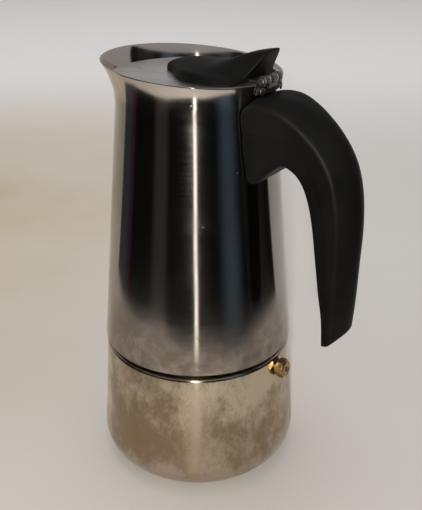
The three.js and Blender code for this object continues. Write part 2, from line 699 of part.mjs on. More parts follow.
function makeLid() {
  const upper = lidFace(0);
  const lower = lidFace(-LID_THICK);
  const edge = [[LID_R, LID_Z - LID_THICK + 0.2], [LID_R, LID_Z - 0.2]];
  const disc = turned([...lower, ...edge, ...upper.reverse()]);
  const back = box([HINGE_X - KNUCKLE_R - 0.5, 50], [-HINGE_HALF - 1.6, HINGE_HALF + 1.6], [180, 215]);
  const holes = LEVER_SCREW_X.map((x) => rodZ(1.6, 190, 202, 20).translate([x, 0, 0]));
  add("lid_disc", cut(disc, back, ...holes), lidSteel);

  // The leaf lies on the lid under the lever and ends in two knuckles round the pin.
  const leafLow = LID_Z + GAP;
  const leafHigh = leafLow + LEAF_THICK;
  const leafBack = HINGE_X - 1.6;
  const strip = box([LEAF_FRONT_X, leafBack], [-HINGE_HALF, HINGE_HALF], [leafLow, leafHigh]);
  const knuckles = rodY(KNUCKLE_R, HINGE_X, HINGE_Z, -HINGE_HALF, HINGE_HALF);
  const gap = MIDDLE_KNUCKLE_HALF + GAP;
  const middle = box([HINGE_X - KNUCKLE_R - 0.5, 50], [-gap, gap], [190, 210]);
  const bore = rodY(PIN_R + 0.1, HINGE_X, HINGE_Z, -20, 20);
  const leafHole = rodZ(1.6, 190, 205, 20).translate([LEVER_SCREW_X[1], 0, 0]);
  add("hinge_leaf", cut(union(strip, knuckles), middle, bore, leafHole), darkSteel);
}

// The lever is a leaf with a thumb tab rising from its middle. For both, [x, value] points from
// the front tip to the thumb piece: the heights of the two crests, the leaf's half-width, the
// height of the edge above its side wall, and the half-widths at the tab's top and at its foot.
const LEVER_CREST = [
  [-15.2, 199.2], [-14, 200.4], [-12, 201.4], [-6.4, 203.1], [-1, 203.8], [3.3, 203.7],
  [10.6, 203.7], [15.7, 204.5], [19.7, 205.6], [24.7, 207.3], [28.5, 208.6], [33.3, 209.8],
  [38, 210.6], [42, 210.9],
];
const LEAF_CREST = [
  [-15.2, 199.2], [-14, 200.4], [-12, 201.4], [-6.4, 203.1], [-1, 203.8], [3.3, 203.7],
  [10.6, 203.7], [15.7, 203.8], [19.7, 203.4], [24.7, 202.4], [28.5, 201.5], [33.3, 200.7],
  [42, 200.4],
];
const LEAF_WIDTH = [
  [-15.2, 0.6], [-14.2, 2.1], [-9, 5.8], [-4, 10.1], [0, 13.8], [4.3, 16.9], [8, 18.8],
  [11.6, 19.9], [17, 20.5], [22, 20.4], [27, 19.4], [31, 17.4], [36, 14.8], [42, 13.4],
];
const LEAF_EDGE = [
  [-15.2, 198.9], [-14.2, 199.2], [-9, 199.6], [-1.5, 200.3], [6.2, 201.1], [11, 201.1],
  [16.4, 200.7], [21.3, 200], [25.6, 199.2], [30.2, 198.6], [34.7, 198.4], [42, 198.4],
];
const TAB_TOP_WIDTH = [
  [-15.2, 0.1], [12, 2], [20, 3.5], [25, 6.4], [31, 9.4], [36, 10.4], [42, 10.4],
];
const TAB_FOOT_WIDTH = [
  [-15.2, 0.3], [0, 12], [12, 18], [20, 16.5], [25, 15], [31, 13.2], [36, 12.6], [42, 12.3],
];

function readOff(points, x) {
  const next = points.findIndex(([at]) => at >= x);
  if (next <= 0) return points[Math.max(next, 0)][1];
  const [[x0, v0], [x1, v1]] = [points[next - 1], points[next]];
  return v0 + ((v1 - v0) * (x - x0)) / (x1 - x0);
}

function makeLever() {
  const floor = LID_Z + GAP;
  const steps = 22;
  const [front, back] = [LEVER_CREST[0][0], LEVER_CREST.at(-1)[0]];
  const rings = [];
  for (let i = 0; i <= steps; i++) {
    const x = front + ((back - front) * (i / steps) ** 1.15);
    const leafCrest = readOff(LEAF_CREST, x);
    const tabRise = readOff(LEVER_CREST, x) - leafCrest;
    const width = readOff(LEAF_WIDTH, x);
    const edge = readOff(LEAF_EDGE, x);
    const foot = Math.min(readOff(TAB_FOOT_WIDTH, x), 0.85 * width);
    const top = Math.min(readOff(TAB_TOP_WIDTH, x), 0.3 * width);
    const height = (y) => {
      const leaf = edge + (leafCrest - edge) * (1 - (y / width) ** 2);
      return leaf + tabRise * (1 - THREE.MathUtils.smoothstep(y, top, foot));
    };
    const flank = [0, 0.25, 0.5, 0.75, 1].map((share) => top + (foot - top) * share);
    const brim = [0.35, 0.7, 1].map((share) => foot + (width - foot) * share);
    const half = [0, ...flank, ...brim].map((y) => [y, height(y)]);
    half.push([width * 1.03, LID_Z - 1]);
    const near = half.map(([y, z]) => new THREE.Vector3(x, -y, z));
    const far = half.filter(([y]) => y > 0).map(([y, z]) => new THREE.Vector3(x, y, z));
    rings.push([...near, ...far.reverse()]);
  }
  const block = loft(rings);

  // The back face leans back over the hinge and bulges a little.
  const rear = (y, z) => 31.9 + 0.66 * (z - 199) - 0.003 * y * y;
  const backRing = (z) => {
    const face = Array.from({ length: 17 }, (_, k) => {
      const y = 3 * (k - 8);
      return new THREE.Vector3(rear(y, z), y, z);
    });
    return [...face, new THREE.Vector3(80, 24, z), new THREE.Vector3(80, -24, z)];
  };
  const behind = loft([190, 200, 203, 206, 209, 212].map(backRing));
  const under = turned([[0, 190], [60, 190], [60, floor], ...lidFace(GAP).reverse()]);

  const leafHalf = HINGE_HALF + GAP;
  const leafRoom = box([LEAF_FRONT_X - GAP, 45], [-leafHalf, leafHalf], [190, floor + LEAF_THICK + GAP]);
  const threads = LEVER_SCREW_X.map((x) => rodZ(1.3, 190, 202.4, 16).translate([x, 0, 0]));
  add("lid_lever", cut(block, behind, under, leafRoom, ...threads), blackPlastic);

  LEVER_SCREW_X.forEach((x, i) => {
    const seat = lidTop(x) - LID_THICK - GAP;
    const slot = box([x - 3, x + 3], [-0.35, 0.35], [seat - 3, seat - 1.2]);
    const screw = union(rodZ(1, seat - 0.5, 202, 16), rodZ(2.6, seat - 1.6, seat));
    const name = i === 0 ? "lever_screw_front" : "lever_screw_rear";
    add(name, screw.translate([x, 0, 0]).subtract(slot), pressedSteel);
  });
}

makeValve();
makeBoiler();
makeFunnel();
makePot();
makeHandle();
makeHinge();
makeLid();
makeLever();

export default pot;
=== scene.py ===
import json
import math

import bmesh
import bpy
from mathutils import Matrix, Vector


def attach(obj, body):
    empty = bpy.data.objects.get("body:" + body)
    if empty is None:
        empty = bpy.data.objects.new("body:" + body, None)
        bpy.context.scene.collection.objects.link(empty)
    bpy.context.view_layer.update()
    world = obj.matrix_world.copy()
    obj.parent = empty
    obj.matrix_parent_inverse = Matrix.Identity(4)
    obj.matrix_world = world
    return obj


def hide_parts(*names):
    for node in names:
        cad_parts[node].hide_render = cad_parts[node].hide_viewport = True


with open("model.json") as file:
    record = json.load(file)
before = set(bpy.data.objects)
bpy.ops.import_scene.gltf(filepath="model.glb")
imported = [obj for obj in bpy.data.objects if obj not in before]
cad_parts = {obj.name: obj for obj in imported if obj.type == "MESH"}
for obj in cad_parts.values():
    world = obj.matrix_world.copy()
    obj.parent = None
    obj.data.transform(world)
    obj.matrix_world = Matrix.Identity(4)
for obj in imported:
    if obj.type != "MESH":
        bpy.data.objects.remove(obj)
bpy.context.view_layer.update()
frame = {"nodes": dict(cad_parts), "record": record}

MM = 0.001
scene = bpy.context.scene
scene.view_settings.view_transform = "Standard"

# Sizes shared by several pieces, in millimetres, as in the CAD part.
GAP = 0.3
BASE_FLAT_R, BELLY_R, BELLY_Z = 36.5, 50.4, 14
BOILER_TOP_R, SHOULDER_Z, SHOULDER_ROUND = 46.6, 65.8, 1.5
NECK_R, NECK_BORE_R, NECK_TOP_Z = 36.6, 35.2, 79
SKIRT_Z, SKIRT_R, TAPER = 68.5, 47, 0.09302
FLARE_Z, FLARE_RATE = 184, 0.01932
POT_WALL, RIM_Z, RIM_SLOPE = 0.85, 200.54, 0.0915
RISER_R, RISER_BORE_R, RISER_TOP_Z, SLOT_Z = 5, 3.6, 158, 161
FLOOR_Z, FLOOR_THICK = 83.7, 1.2
HINGE_X, HINGE_Z, KNUCKLE_R, HINGE_HALF = 37.3, 198.3, 2.4, 6.9
NOTCH_HALF = HINGE_HALF + 1.6
LID_R, LID_Z, LID_DISH, LID_THICK = 37.2, 197.5, 0.7, 0.8
VALVE_Z, VALVE_TURN = 59.4, 0.8
VALVE_FLATS, VALVE_STUB_R, VALVE_COLLAR_R = 8.4, 3.3, 3.8
THREAD_START, THREAD_PITCH, THREAD_TURNS = 69.8, 3, 2.2
COLLAR_BORE_R = 38.4
HOLE_R = 0.9
SIDE_SLOPE = (BELLY_R - BOILER_TOP_R) / (SHOULDER_Z - SHOULDER_ROUND - BELLY_Z)
SHELL_COUNT = 224


# ------------------------------------------------------------------ materials


def node(tree, kind, inputs=None, **props):
    """A shader node with its properties and inputs set; a socket given as an input is linked."""
    made = tree.nodes.new("ShaderNode" + kind)
    for name, value in props.items():
        setattr(made, name, value)
    for name, value in (inputs or {}).items():
        if isinstance(value, bpy.types.NodeSocket):
            tree.links.new(value, made.inputs[name])
        else:
            made.inputs[name].default_value = value
    return made


def noise(tree, scale, stretch=(1, 1, 1), detail=4.0, roughness=0.55, distortion=0.0, shift=(0, 0, 0)):
    """A noise value over the object, with `scale` features for each metre."""
    place = node(tree, "TexCoord").outputs["Object"]
    mapped = node(tree, "Mapping", {"Vector": place, "Scale": stretch, "Location": shift})
    made = node(
        tree,
        "TexNoise",
        {
            "Vector": mapped.outputs["Vector"],
            "Scale": scale,
            "Detail": detail,
            "Roughness": roughness,
            "Distortion": distortion,
        },
    )
    return made.outputs["Fac"]


def ramp(tree, value, low, high, out_low=0.0, out_high=1.0):
    """A value moved smoothly from one range to another and kept inside it."""
    made = node(
        tree,
        "MapRange",
        {"Value": value, "From Min": low, "From Max": high, "To Min": out_low, "To Max": out_high},
        interpolation_type="SMOOTHSTEP",
    )
    return made.outputs["Result"]


def math_node(tree, operation, a, b=0.0):
    made = node(tree, "Math", {0: a, 1: b}, operation=operation)
    return made.outputs[0]


def add(tree, a, b):
    return math_node(tree, "ADD", a, b)


def times(tree, a, b):
    return math_node(tree, "MULTIPLY", a, b)


def height(tree):
    """Height above the base, in metres."""
    place = node(tree, "TexCoord").outputs["Object"]
    return node(tree, "SeparateXYZ", {"Vector": place}).outputs["Z"]


def mix(tree, factor, a, b):
    made = node(tree, "Mix", data_type="RGBA")
    for index, value in ((0, factor), (6, a), (7, b)):
        if isinstance(value, bpy.types.NodeSocket):
            tree.links.new(value, made.inputs[index])
        else:
            made.inputs[index].default_value = value
    return made.outputs[2]


def bump(tree, value, strength, distance):
    made = node(tree, "Bump", {"Height": value, "Strength": strength, "Distance": distance})
    return made.outputs["Normal"]


def rgb(r, g, b):
    return (r, g, b, 1.0)


def start_material(name, **fixed):
    made = bpy.data.materials.new(name)
    made.use_nodes = True
    tree = made.node_tree
    shader = tree.nodes["Principled BSDF"]
    for socket, value in fixed.items():
        shader.inputs[socket.replace("_", " ")].default_value = value
    return made, tree, shader


def link(tree, value, shader, socket):
    tree.links.new(value, shader.inputs[socket])


def radial_tangent(tree, shader):
    tangent = node(tree, "Tangent", direction_type="RADIAL", axis="Z")
    link(tree, tangent.outputs["Tangent"], shader, "Tangent")


def dress(tree, shader, colour, relief, strength, depth, rough=None):
    """Links a material's colour, its fine relief and, where it varies, its roughness."""
    link(tree, colour, shader, "Base Color")
    link(tree, bump(tree, relief, strength, depth), shader, "Normal")
    if rough is not None:
        link(tree, rough, shader, "Roughness")


def polished_steel():
    """Mirror-polished sheet with fine polishing lines round it, smudges, specks and a little tint, and a
    painted reflection: the flare is coloured paler.
    """
    made, tree, shader = start_material(
        "polished_steel", Metallic=1.0, Anisotropic=0.72, Anisotropic_Rotation=0.25
    )
    radial_tangent(tree, shader)
    lines = noise(tree, 1.0, (25, 25, 5200), detail=3)
    broad_lines = noise(tree, 1.0, (14, 14, 1500), detail=4)
    smudge = noise(tree, 38, detail=6, roughness=0.65, distortion=0.6)
    patches = noise(tree, 95, detail=8, roughness=0.72, distortion=0.4, shift=(0.3, 0.1, 0.7))
    low = ramp(tree, height(tree), 0.070, 0.112, 1.0, 0.0)
    flare = ramp(tree, height(tree), 0.186, 0.193)
    stain = times(tree, ramp(tree, patches, 0.36, 0.62), low)
    specks = ramp(tree, noise(tree, 620, detail=2, shift=(1.7, 0.2, 0.4)), 0.765, 0.80)
    colour = mix(tree, ramp(tree, smudge, 0.3, 0.75), rgb(0.39, 0.365, 0.34), rgb(0.33, 0.305, 0.28))
    colour = mix(tree, low, colour, rgb(0.36, 0.31, 0.27))
    colour = mix(tree, times(tree, stain, 0.85), colour, rgb(0.20, 0.16, 0.125))
    # Painted reflection: the flare near the rim is coloured paler, standing in for the brighter surroundings
    # it mirrors.
    colour = mix(tree, flare, colour, rgb(0.62, 0.56, 0.51))
    colour = mix(tree, specks, colour, rgb(0.85, 0.84, 0.8))
    rough = add(tree, ramp(tree, smudge, 0.3, 0.8, 0.085, 0.135), ramp(tree, lines, 0.3, 0.7, 0, 0.035))
    rough = add(tree, rough, times(tree, low, 0.035))
    rough = add(tree, rough, times(tree, specks, 0.3))
    relief = add(tree, times(tree, lines, 0.35), times(tree, broad_lines, 0.65))
    dress(tree, shader, colour, relief, 0.35, 0.000012, rough)
    return made


def satin_steel():
    """Dull steel with brown heat tint, blotchy water stains and fine lines round it."""
    made, tree, shader = start_material(
        "satin_steel", Metallic=1.0, Anisotropic=0.9, Anisotropic_Rotation=0.25
    )
    radial_tangent(tree, shader)
    lines = noise(tree, 1.0, (20, 20, 3600), detail=4)
    blotch = noise(tree, 70, (1, 1, 0.7), detail=12, roughness=0.82, shift=(2.3, 1.1, 0.7))
    wide = noise(tree, 22, detail=3, roughness=0.5, shift=(1.9, 0.3, 0.6))
    grain = noise(tree, 420, detail=5, roughness=0.7)
    up = ramp(tree, height(tree), 0.004, 0.024)
    down = ramp(tree, height(tree), 0.046, 0.066, 1.0, 0.25)
    foot = ramp(tree, height(tree), 0.004, 0.020, 1.0, 0.0)
    sway = times(tree, math_node(tree, "SUBTRACT", wide, 0.5), 0.55)
    edge = add(tree, add(tree, blotch, sway), times(tree, times(tree, up, down), 0.13))
    stain = ramp(tree, edge, 0.46, 0.70)
    core = ramp(tree, edge, 0.62, 0.80)
    flecks = ramp(tree, grain, 0.60, 0.74)
    colour = mix(tree, ramp(tree, wide, 0.35, 0.65), rgb(0.57, 0.48, 0.365), rgb(0.455, 0.37, 0.28))
    colour = mix(tree, foot, colour, rgb(0.48, 0.385, 0.32))
    colour = mix(tree, times(tree, stain, 0.85), colour, rgb(0.285, 0.21, 0.135))
    colour = mix(tree, times(tree, core, 0.6), colour, rgb(0.34, 0.225, 0.11))
    colour = mix(tree, times(tree, flecks, 0.30), colour, rgb(0.30, 0.24, 0.19))
    rough = add(tree, ramp(tree, blotch, 0.35, 0.65, 0.09, 0.15), times(tree, stain, 0.12))
    relief = add(tree, times(tree, lines, 0.7), times(tree, grain, 0.3))
    dress(tree, shader, colour, relief, 0.35, 0.00002, rough)
    return made


def brushed_metal(name, light, dark, smooth, rough, stretch, scale=60, strength=0.3, depth=0.00002):
    """Plain sheet metal: two tints in soft patches, a grain in one direction and uneven roughness."""
    made, tree, shader = start_material(name, Metallic=1.0, Anisotropic=0.3)
    radial_tangent(tree, shader)
    grain = noise(tree, 1.0, stretch, detail=4)
    patch = noise(tree, scale, detail=7, roughness=0.65, distortion=0.3)
    fine = noise(tree, scale * 14, detail=4, roughness=0.7, shift=(0.2, 0.5, 0.9))
    colour = mix(tree, ramp(tree, patch, 0.35, 0.7), light, dark)
    colour = mix(tree, ramp(tree, fine, 0.55, 0.8, 0.0, 0.5), colour, dark)
    relief = add(tree, times(tree, grain, 0.5), times(tree, fine, 0.5))
    dress(tree, shader, colour, relief, strength, depth, ramp(tree, patch, 0.3, 0.7, smooth, rough))
    return made


def black_plastic():
    """Moulded black plastic with a very fine grain, worn smoother in places, with a little dust."""
    made, tree, shader = start_material("black_plastic", IOR=1.4, Specular_IOR_Level=0.13)
    grain = noise(tree, 2600, detail=3, roughness=0.6)
    wear = noise(tree, 30, detail=5, roughness=0.6, distortion=0.4)
    dust = noise(tree, 900, detail=3, roughness=0.7, shift=(0.7, 0.1, 0.3))
    worn = ramp(tree, wear, 0.3, 0.7)
    colour = mix(tree, worn, rgb(0.0030, 0.0030, 0.0029), rgb(0.0050, 0.0048, 0.0045))
    colour = mix(tree, ramp(tree, dust, 0.70, 0.78, 0.0, 0.35), colour, rgb(0.10, 0.095, 0.09))
    dress(tree, shader, colour, grain, 0.28, 0.00005, ramp(tree, wear, 0.3, 0.7, 0.44, 0.56))
    return made


def silicone():
    """Off-white rubber, slightly stained by coffee."""
    made, tree, shader = start_material("silicone", Roughness=0.62, Subsurface_Weight=0.08)
    stain = ramp(tree, noise(tree, 70, detail=6, roughness=0.65), 0.45, 0.7)
    colour = mix(tree, stain, rgb(0.72, 0.70, 0.66), rgb(0.50, 0.42, 0.33))
    dress(tree, shader, colour, noise(tree, 1500, detail=3), 0.25, 0.00005)
    return made


def dark_patchy_steel():
    """The hinge's dull steel: dark and uneven, in patches with small darker pits."""
    made, tree, shader = start_material("dark_steel", Metallic=1.0)
    patch = noise(tree, 260, detail=7, roughness=0.7, distortion=0.5)
    pits = noise(tree, 1500, detail=4, roughness=0.7)
    colour = mix(tree, ramp(tree, patch, 0.38, 0.66), rgb(0.27, 0.25, 0.225), rgb(0.085, 0.075, 0.065))
    colour = mix(tree, ramp(tree, pits, 0.6, 0.75), colour, rgb(0.05, 0.045, 0.04))
    rough = ramp(tree, patch, 0.35, 0.7, 0.30, 0.55)
    dress(tree, shader, colour, add(tree, patch, pits), 0.5, 0.00008, rough)
    return made


def lid_steel():
    light, dark = rgb(0.88, 0.87, 0.86), rgb(0.56, 0.52, 0.485)
    return brushed_metal("lid_steel", light, dark, 0.27, 0.38, (260, 260, 260), scale=44)


def pressed_steel():
    light, dark = rgb(0.66, 0.66, 0.655), rgb(0.54, 0.51, 0.47)
    return brushed_metal("pressed_steel", light, dark, 0.22, 0.34, (30, 30, 2600))


def brass():
    light, dark = rgb(0.50, 0.34, 0.15), rgb(0.20, 0.135, 0.065)
    grain = (900, 900, 900)
    return brushed_metal("brass", light, dark, 0.28, 0.45, grain, scale=240, strength=0.4, depth=0.00005)


MATERIALS = {
    "polished_steel": polished_steel(),
    "satin_steel": satin_steel(),
    "lid_steel": lid_steel(),
    "dark_steel": dark_patchy_steel(),
    "pressed_steel": pressed_steel(),
    "brass": brass(),
    "black_plastic": black_plastic(),
    "silicone": silicone(),
}


# ------------------------------------------------------------------ mesh helpers


def new_object(name, data):
    made = bpy.data.objects.new(name, data)
    scene.collection.objects.link(made)
    return made


def evaluated_mesh(thing):
    """A new mesh of an object as it looks with its modifiers or its curve settings applied."""
    bpy.context.view_layer.update()
    return bpy.data.meshes.new_from_object(thing.evaluated_get(bpy.context.evaluated_depsgraph_get()))


def mesh_object(name, points, faces, body, slot, replaces=(), sharp=38, bevel=0.0):
    """A mesh from points in millimetres that rides on a body and stands for CAD nodes."""
    mesh = bpy.data.meshes.new(name)
    mesh.from_pydata([tuple(c * MM for c in p) for p in points], [], faces)
    work = bmesh.new()
    work.from_mesh(mesh)
    bmesh.ops.remove_doubles(work, verts=work.verts, dist=2e-7)
    bmesh.ops.dissolve_degenerate(work, edges=work.edges, dist=1e-7)
    bmesh.ops.recalc_face_normals(work, faces=work.faces)
    for face in work.faces:
        face.smooth = True
    for edge in work.edges:
        if not bevel and len(edge.link_faces) == 2 and edge.calc_face_angle() > math.radians(sharp):
            edge.smooth = False
    work.to_mesh(mesh)
    work.free()
    mesh.materials.append(MATERIALS[slot])
    made = new_object(name, mesh)
    if bevel:
        modifier = made.modifiers.new("Bevel", "BEVEL")
        modifier.width = bevel * MM
        modifier.segments = 3
        modifier.limit_method = "ANGLE"
        modifier.angle_limit = math.radians(sharp)
        modifier.harden_normals = True
    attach(made, body)
    if replaces:
        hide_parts(*replaces)
    return made


def soften(points, radius, steps=4, closed=False):
    """A line of 2-D points with its corners rounded."""
    count = len(points)
    out = [] if closed else [points[0]]
    for i in range(0 if closed else 1, count if closed else count - 1):
        a, b, c = (Vector(points[(i + d) % count]) for d in (-1, 0, 1))
        before, after = (a - b).length, (c - b).length
        cut = min(radius, 0.42 * before, 0.42 * after)
        if cut < 1e-6 or (a - b).angle(c - b, 0) > math.radians(172):
            out.append(tuple(b))
            continue
        first, last = b + (a - b) * (cut / before), b + (c - b) * (cut / after)
        for k in range(steps + 1):
            t = k / steps
            out.append(tuple(first * (1 - t) ** 2 + b * (2 * t * (1 - t)) + last * t**2))
    return out if closed else out + [points[-1]]


def arc(centre, radius, start, end, steps):
    """Points on an arc, angles in degrees."""
    out = []
    for i in range(steps + 1):
        a = math.radians(start + (end - start) * i / steps)
        out.append((centre[0] + radius * math.cos(a), centre[1] + radius * math.sin(a)))
    return out


def grid_faces(rows, columns, wrap_rows=False, wrap_columns=True):
    faces = []
    for i in range(rows if wrap_rows else rows - 1):
        for j in range(columns if wrap_columns else columns - 1):
            a, b = i * columns + j, i * columns + (j + 1) % columns
            c, d = ((i + 1) % rows) * columns + (j + 1) % columns, ((i + 1) % rows) * columns + j
            faces.append((a, b, c, d))
    return faces


def lathe(name, profile, body, slot, replaces=(), count=SHELL_COUNT, move=None, flats=None, **more):
    """A profile of (radius, height) points turned about Z, which ends on the axis or closes on
    itself. Flats, where they are given, cut it to a hexagon of that width; `move` then places it."""
    points = []
    for radius, z in profile:
        for j in range(count):
            a = 2 * math.pi * j / count
            limit = flats / 2 / math.cos(a % (math.pi / 3) - math.pi / 6) if flats else radius
            r = min(radius, limit)
            points.append((r * math.cos(a), r * math.sin(a), z))
    if move:
        points = [move(p) for p in points]
    closes = profile[0][0] > 0 or profile[-1][0] > 0
    return mesh_object(name, points, grid_faces(len(profile), count, closes), body, slot, replaces, **more)


def turned_ring(points, radius=0.25):
    """A closed profile with its corners rounded."""
    return soften(points, radius, closed=True)


def tube(name, path, radius, body, slot, replaces=(), count=10):
    """A round wire along a path of points, with closed ends."""
    points = []
    for i, here in enumerate(path):
        here = Vector(here)
        ahead = Vector(path[min(i + 1, len(path) - 1)]) - Vector(path[max(i - 1, 0)])
        side = ahead.cross(Vector((0.3, 0.1, 1))).normalized()
        up = side.cross(ahead).normalized()
        for k in range(count):
            a = 2 * math.pi * k / count
            points.append(here + side * (radius * math.cos(a)) + up * (radius * math.sin(a)))
    faces = grid_faces(len(path), count)
    faces.append(tuple(range(count)))
    faces.append(tuple(range((len(path) - 1) * count, len(path) * count)))
    mesh_object(name, points, faces, body, slot, replaces)


# ------------------------------------------------------------------ boiler and its thread


def screw_ridge(name, root, crest, body, slot):
    """The thread's ridge, which fades out at both ends."""
    per_turn = 72
    steps = round(THREAD_TURNS * per_turn)
    points = []
    for i in range(steps + 1):
        a = 2 * math.pi * i / per_turn
        z = THREAD_START + THREAD_PITCH * i / per_turn
        fade = min(1, i / 15, (steps - i) / 15)
        tip = root + (crest - root) * (0.1 + 0.9 * fade)
        foot = root - math.copysign(0.3, crest - root)
        section = [(foot, -0.8), (tip, -0.3), (tip, -0.1), (tip, 0.1), (tip, 0.3), (foot, 0.8)]
        points += [(r * math.cos(a), r * math.sin(a), z + dz) for r, dz in section]
    faces = grid_faces(steps + 1, 6)
    faces.append(tuple(range(6)))
    faces.append(tuple(range(steps * 6, steps * 6 + 6)))
    mesh_object(name, points, faces, body, slot)


def side_r(z):
    return BELLY_R - (z - BELLY_Z) * SIDE_SLOPE


def make_boiler():
    slant = math.degrees(math.atan(SIDE_SLOPE))
    corner_r = BELLY_R - BASE_FLAT_R
    centre = (BASE_FLAT_R, BELLY_Z)
    shoulder = (BOILER_TOP_R - SHOULDER_ROUND, SHOULDER_Z - SHOULDER_ROUND)
    top = [(BOILER_TOP_R - 2.2, SHOULDER_Z), (NECK_R + 5, SHOULDER_Z - 0.2), (NECK_R + 1.2, SHOULDER_Z - 0.2)]
    top += [(NECK_R, SHOULDER_Z + 0.9), (NECK_R, NECK_TOP_Z), (NECK_BORE_R, NECK_TOP_Z)]
    top += [(NECK_BORE_R, SHOULDER_Z + 0.4), (NECK_R + 0.6, SHOULDER_Z - 1.2)]
    top += [(BOILER_TOP_R - 2.4, SHOULDER_Z - 1)]
    side = [(side_r(BELLY_Z + 3 + 4.6 * i), BELLY_Z + 3 + 4.6 * i) for i in range(10)]
    profile = [(0, 0.0), (12, 0.0), (24, 0.0), (33, 0.0)]
    profile += arc(centre, corner_r, -90, slant, 28)
    profile += side
    profile += arc(shoulder, SHOULDER_ROUND, slant, 80, 8)
    profile += soften(top, 0.4)
    profile += arc(shoulder, SHOULDER_ROUND - 1, 80, slant, 3)
    profile += arc(centre, corner_r - 1.2, slant, -90, 12)
    profile += [(24, 1.3), (0, 1.3)]
    lathe("boiler_body", profile, "boiler", "satin_steel", ["boiler_shell"])
    screw_ridge("boiler_thread", NECK_R, NECK_R + 0.7, "boiler", "satin_steel")


# ------------------------------------------------------------------ safety valve


def valve_place(p):
    """From distances across, up and along the valve to the frame of the whole object."""
    tilt, turn = math.atan(SIDE_SLOPE), math.radians(VALVE_TURN)
    y, z, x = p
    x, z = x * math.cos(tilt) - z * math.sin(tilt), x * math.sin(tilt) + z * math.cos(tilt)
    x, z = x + side_r(VALVE_Z), z + VALVE_Z
    return (x * math.cos(turn) - y * math.sin(turn), x * math.sin(turn) + y * math.cos(turn), z)


def make_valve():
    hex_in, hex_out, stub_end, seat = 0.9, 5.1, -6.5, 4.1
    corner = VALVE_FLATS / math.sqrt(3)
    profile = [
        (VALVE_STUB_R, stub_end),
        (VALVE_STUB_R, GAP),
        (VALVE_COLLAR_R, GAP),
        (VALVE_COLLAR_R, hex_in),
        (corner - 0.4, hex_in),
        (corner + 0.1, hex_in + 0.3),
    ]
    profile += [(corner + 0.1 - 0.16 * i, hex_out - 1.25 + 0.11 * i) for i in range(11)]
    profile += [(3.5, hex_out), (1.5, hex_out), (1.3, hex_out - 0.2), (1.1, hex_out - 0.3), (1.1, seat)]
    profile += [(2.4, seat - 0.1), (2.4, -4.5), (1.3, -4.6), (1.3, stub_end)]
    hexagon = {"count": 144, "move": valve_place, "flats": VALVE_FLATS, "sharp": 24}
    lathe("valve_hexagon", profile, "boiler", "brass", ["valve_body"], **hexagon)
    washer = turned_ring([(3.6, -2.25), (4.7, -2.25), (4.7, -1.45), (3.6, -1.45)])
    lathe("valve_seal", washer, "boiler", "silicone", ["valve_washer"], count=64, move=valve_place)
    nut = [(3.6, -5.55), (4.9, -5.55), (4.9, -2.55), (3.6, -2.55)]
    lathe("valve_back_nut", nut, "boiler", "brass", ["valve_nut"], **hexagon)
    pin = [(0, -4.2), (2, -4.2), (2, -2.9), (0.8, -2.9)]
    pin += [(0.8, hex_out + 0.8), (0.4, hex_out + 1.1), (0, hex_out + 1.1)]
    pin = soften(pin, 0.15)
    lathe("valve_plunger", pin, "valve_pin", "dark_steel", ["valve_pin"], count=32, move=valve_place)
    # The coil starts where the plunger has room for its whole slide.
    first, last, turns, coil = -1.3, 3.4, 5, 1.6
    path = []
    for i in range(turns * 24 + 1):
        a = 2 * math.pi * i / 24
        x = first + (last - first) * i / (turns * 24)
        path.append(valve_place((coil * math.cos(a), coil * math.sin(a), x)))
    tube("valve_coil", path, 0.3, "boiler", "pressed_steel", ["valve_spring"], count=8)


# ------------------------------------------------------------------ funnel, filters and seal


def perforated(name, radius, low, thick, body, replaces):
    """A round plate with rings of round holes."""
    curve = bpy.data.curves.new(name, "CURVE")
    curve.dimensions = "2D"
    curve.fill_mode = "BOTH"
    curve.extrude = thick / 2 * MM * 0.9
    curve.bevel_depth = 0.05 * MM
    curve.bevel_resolution = 1

    def circle(x, y, r, count):
        spline = curve.splines.new("POLY")
        spline.points.add(count - 1)
        for i in range(count):
            a = 2 * math.pi * i / count
            spline.points[i].co = ((x + r * math.cos(a)) * MM, (y + r * math.sin(a)) * MM, 0, 1)
        spline.use_cyclic_u = True

    circle(0, 0, radius - 0.05, 128)
    circle(0, 0, HOLE_R, 20)
    for ring, count in enumerate((6, 12, 18)):
        for i in range(count):
            a = 2 * math.pi * (i + 0.5 * (ring % 2)) / count
            r = 8 * (ring + 1)
            circle(r * math.cos(a), r * math.sin(a), HOLE_R, 20)
    holder = new_object(name + "_outline", curve)
    mesh = evaluated_mesh(holder)
    bpy.data.objects.remove(holder)
    points = [(v.co.x / MM, v.co.y / MM, v.co.z / MM + low + thick / 2) for v in mesh.vertices]
    faces = [tuple(f.vertices) for f in mesh.polygons]
    mesh_object(name, points, faces, body, "pressed_steel", replaces)


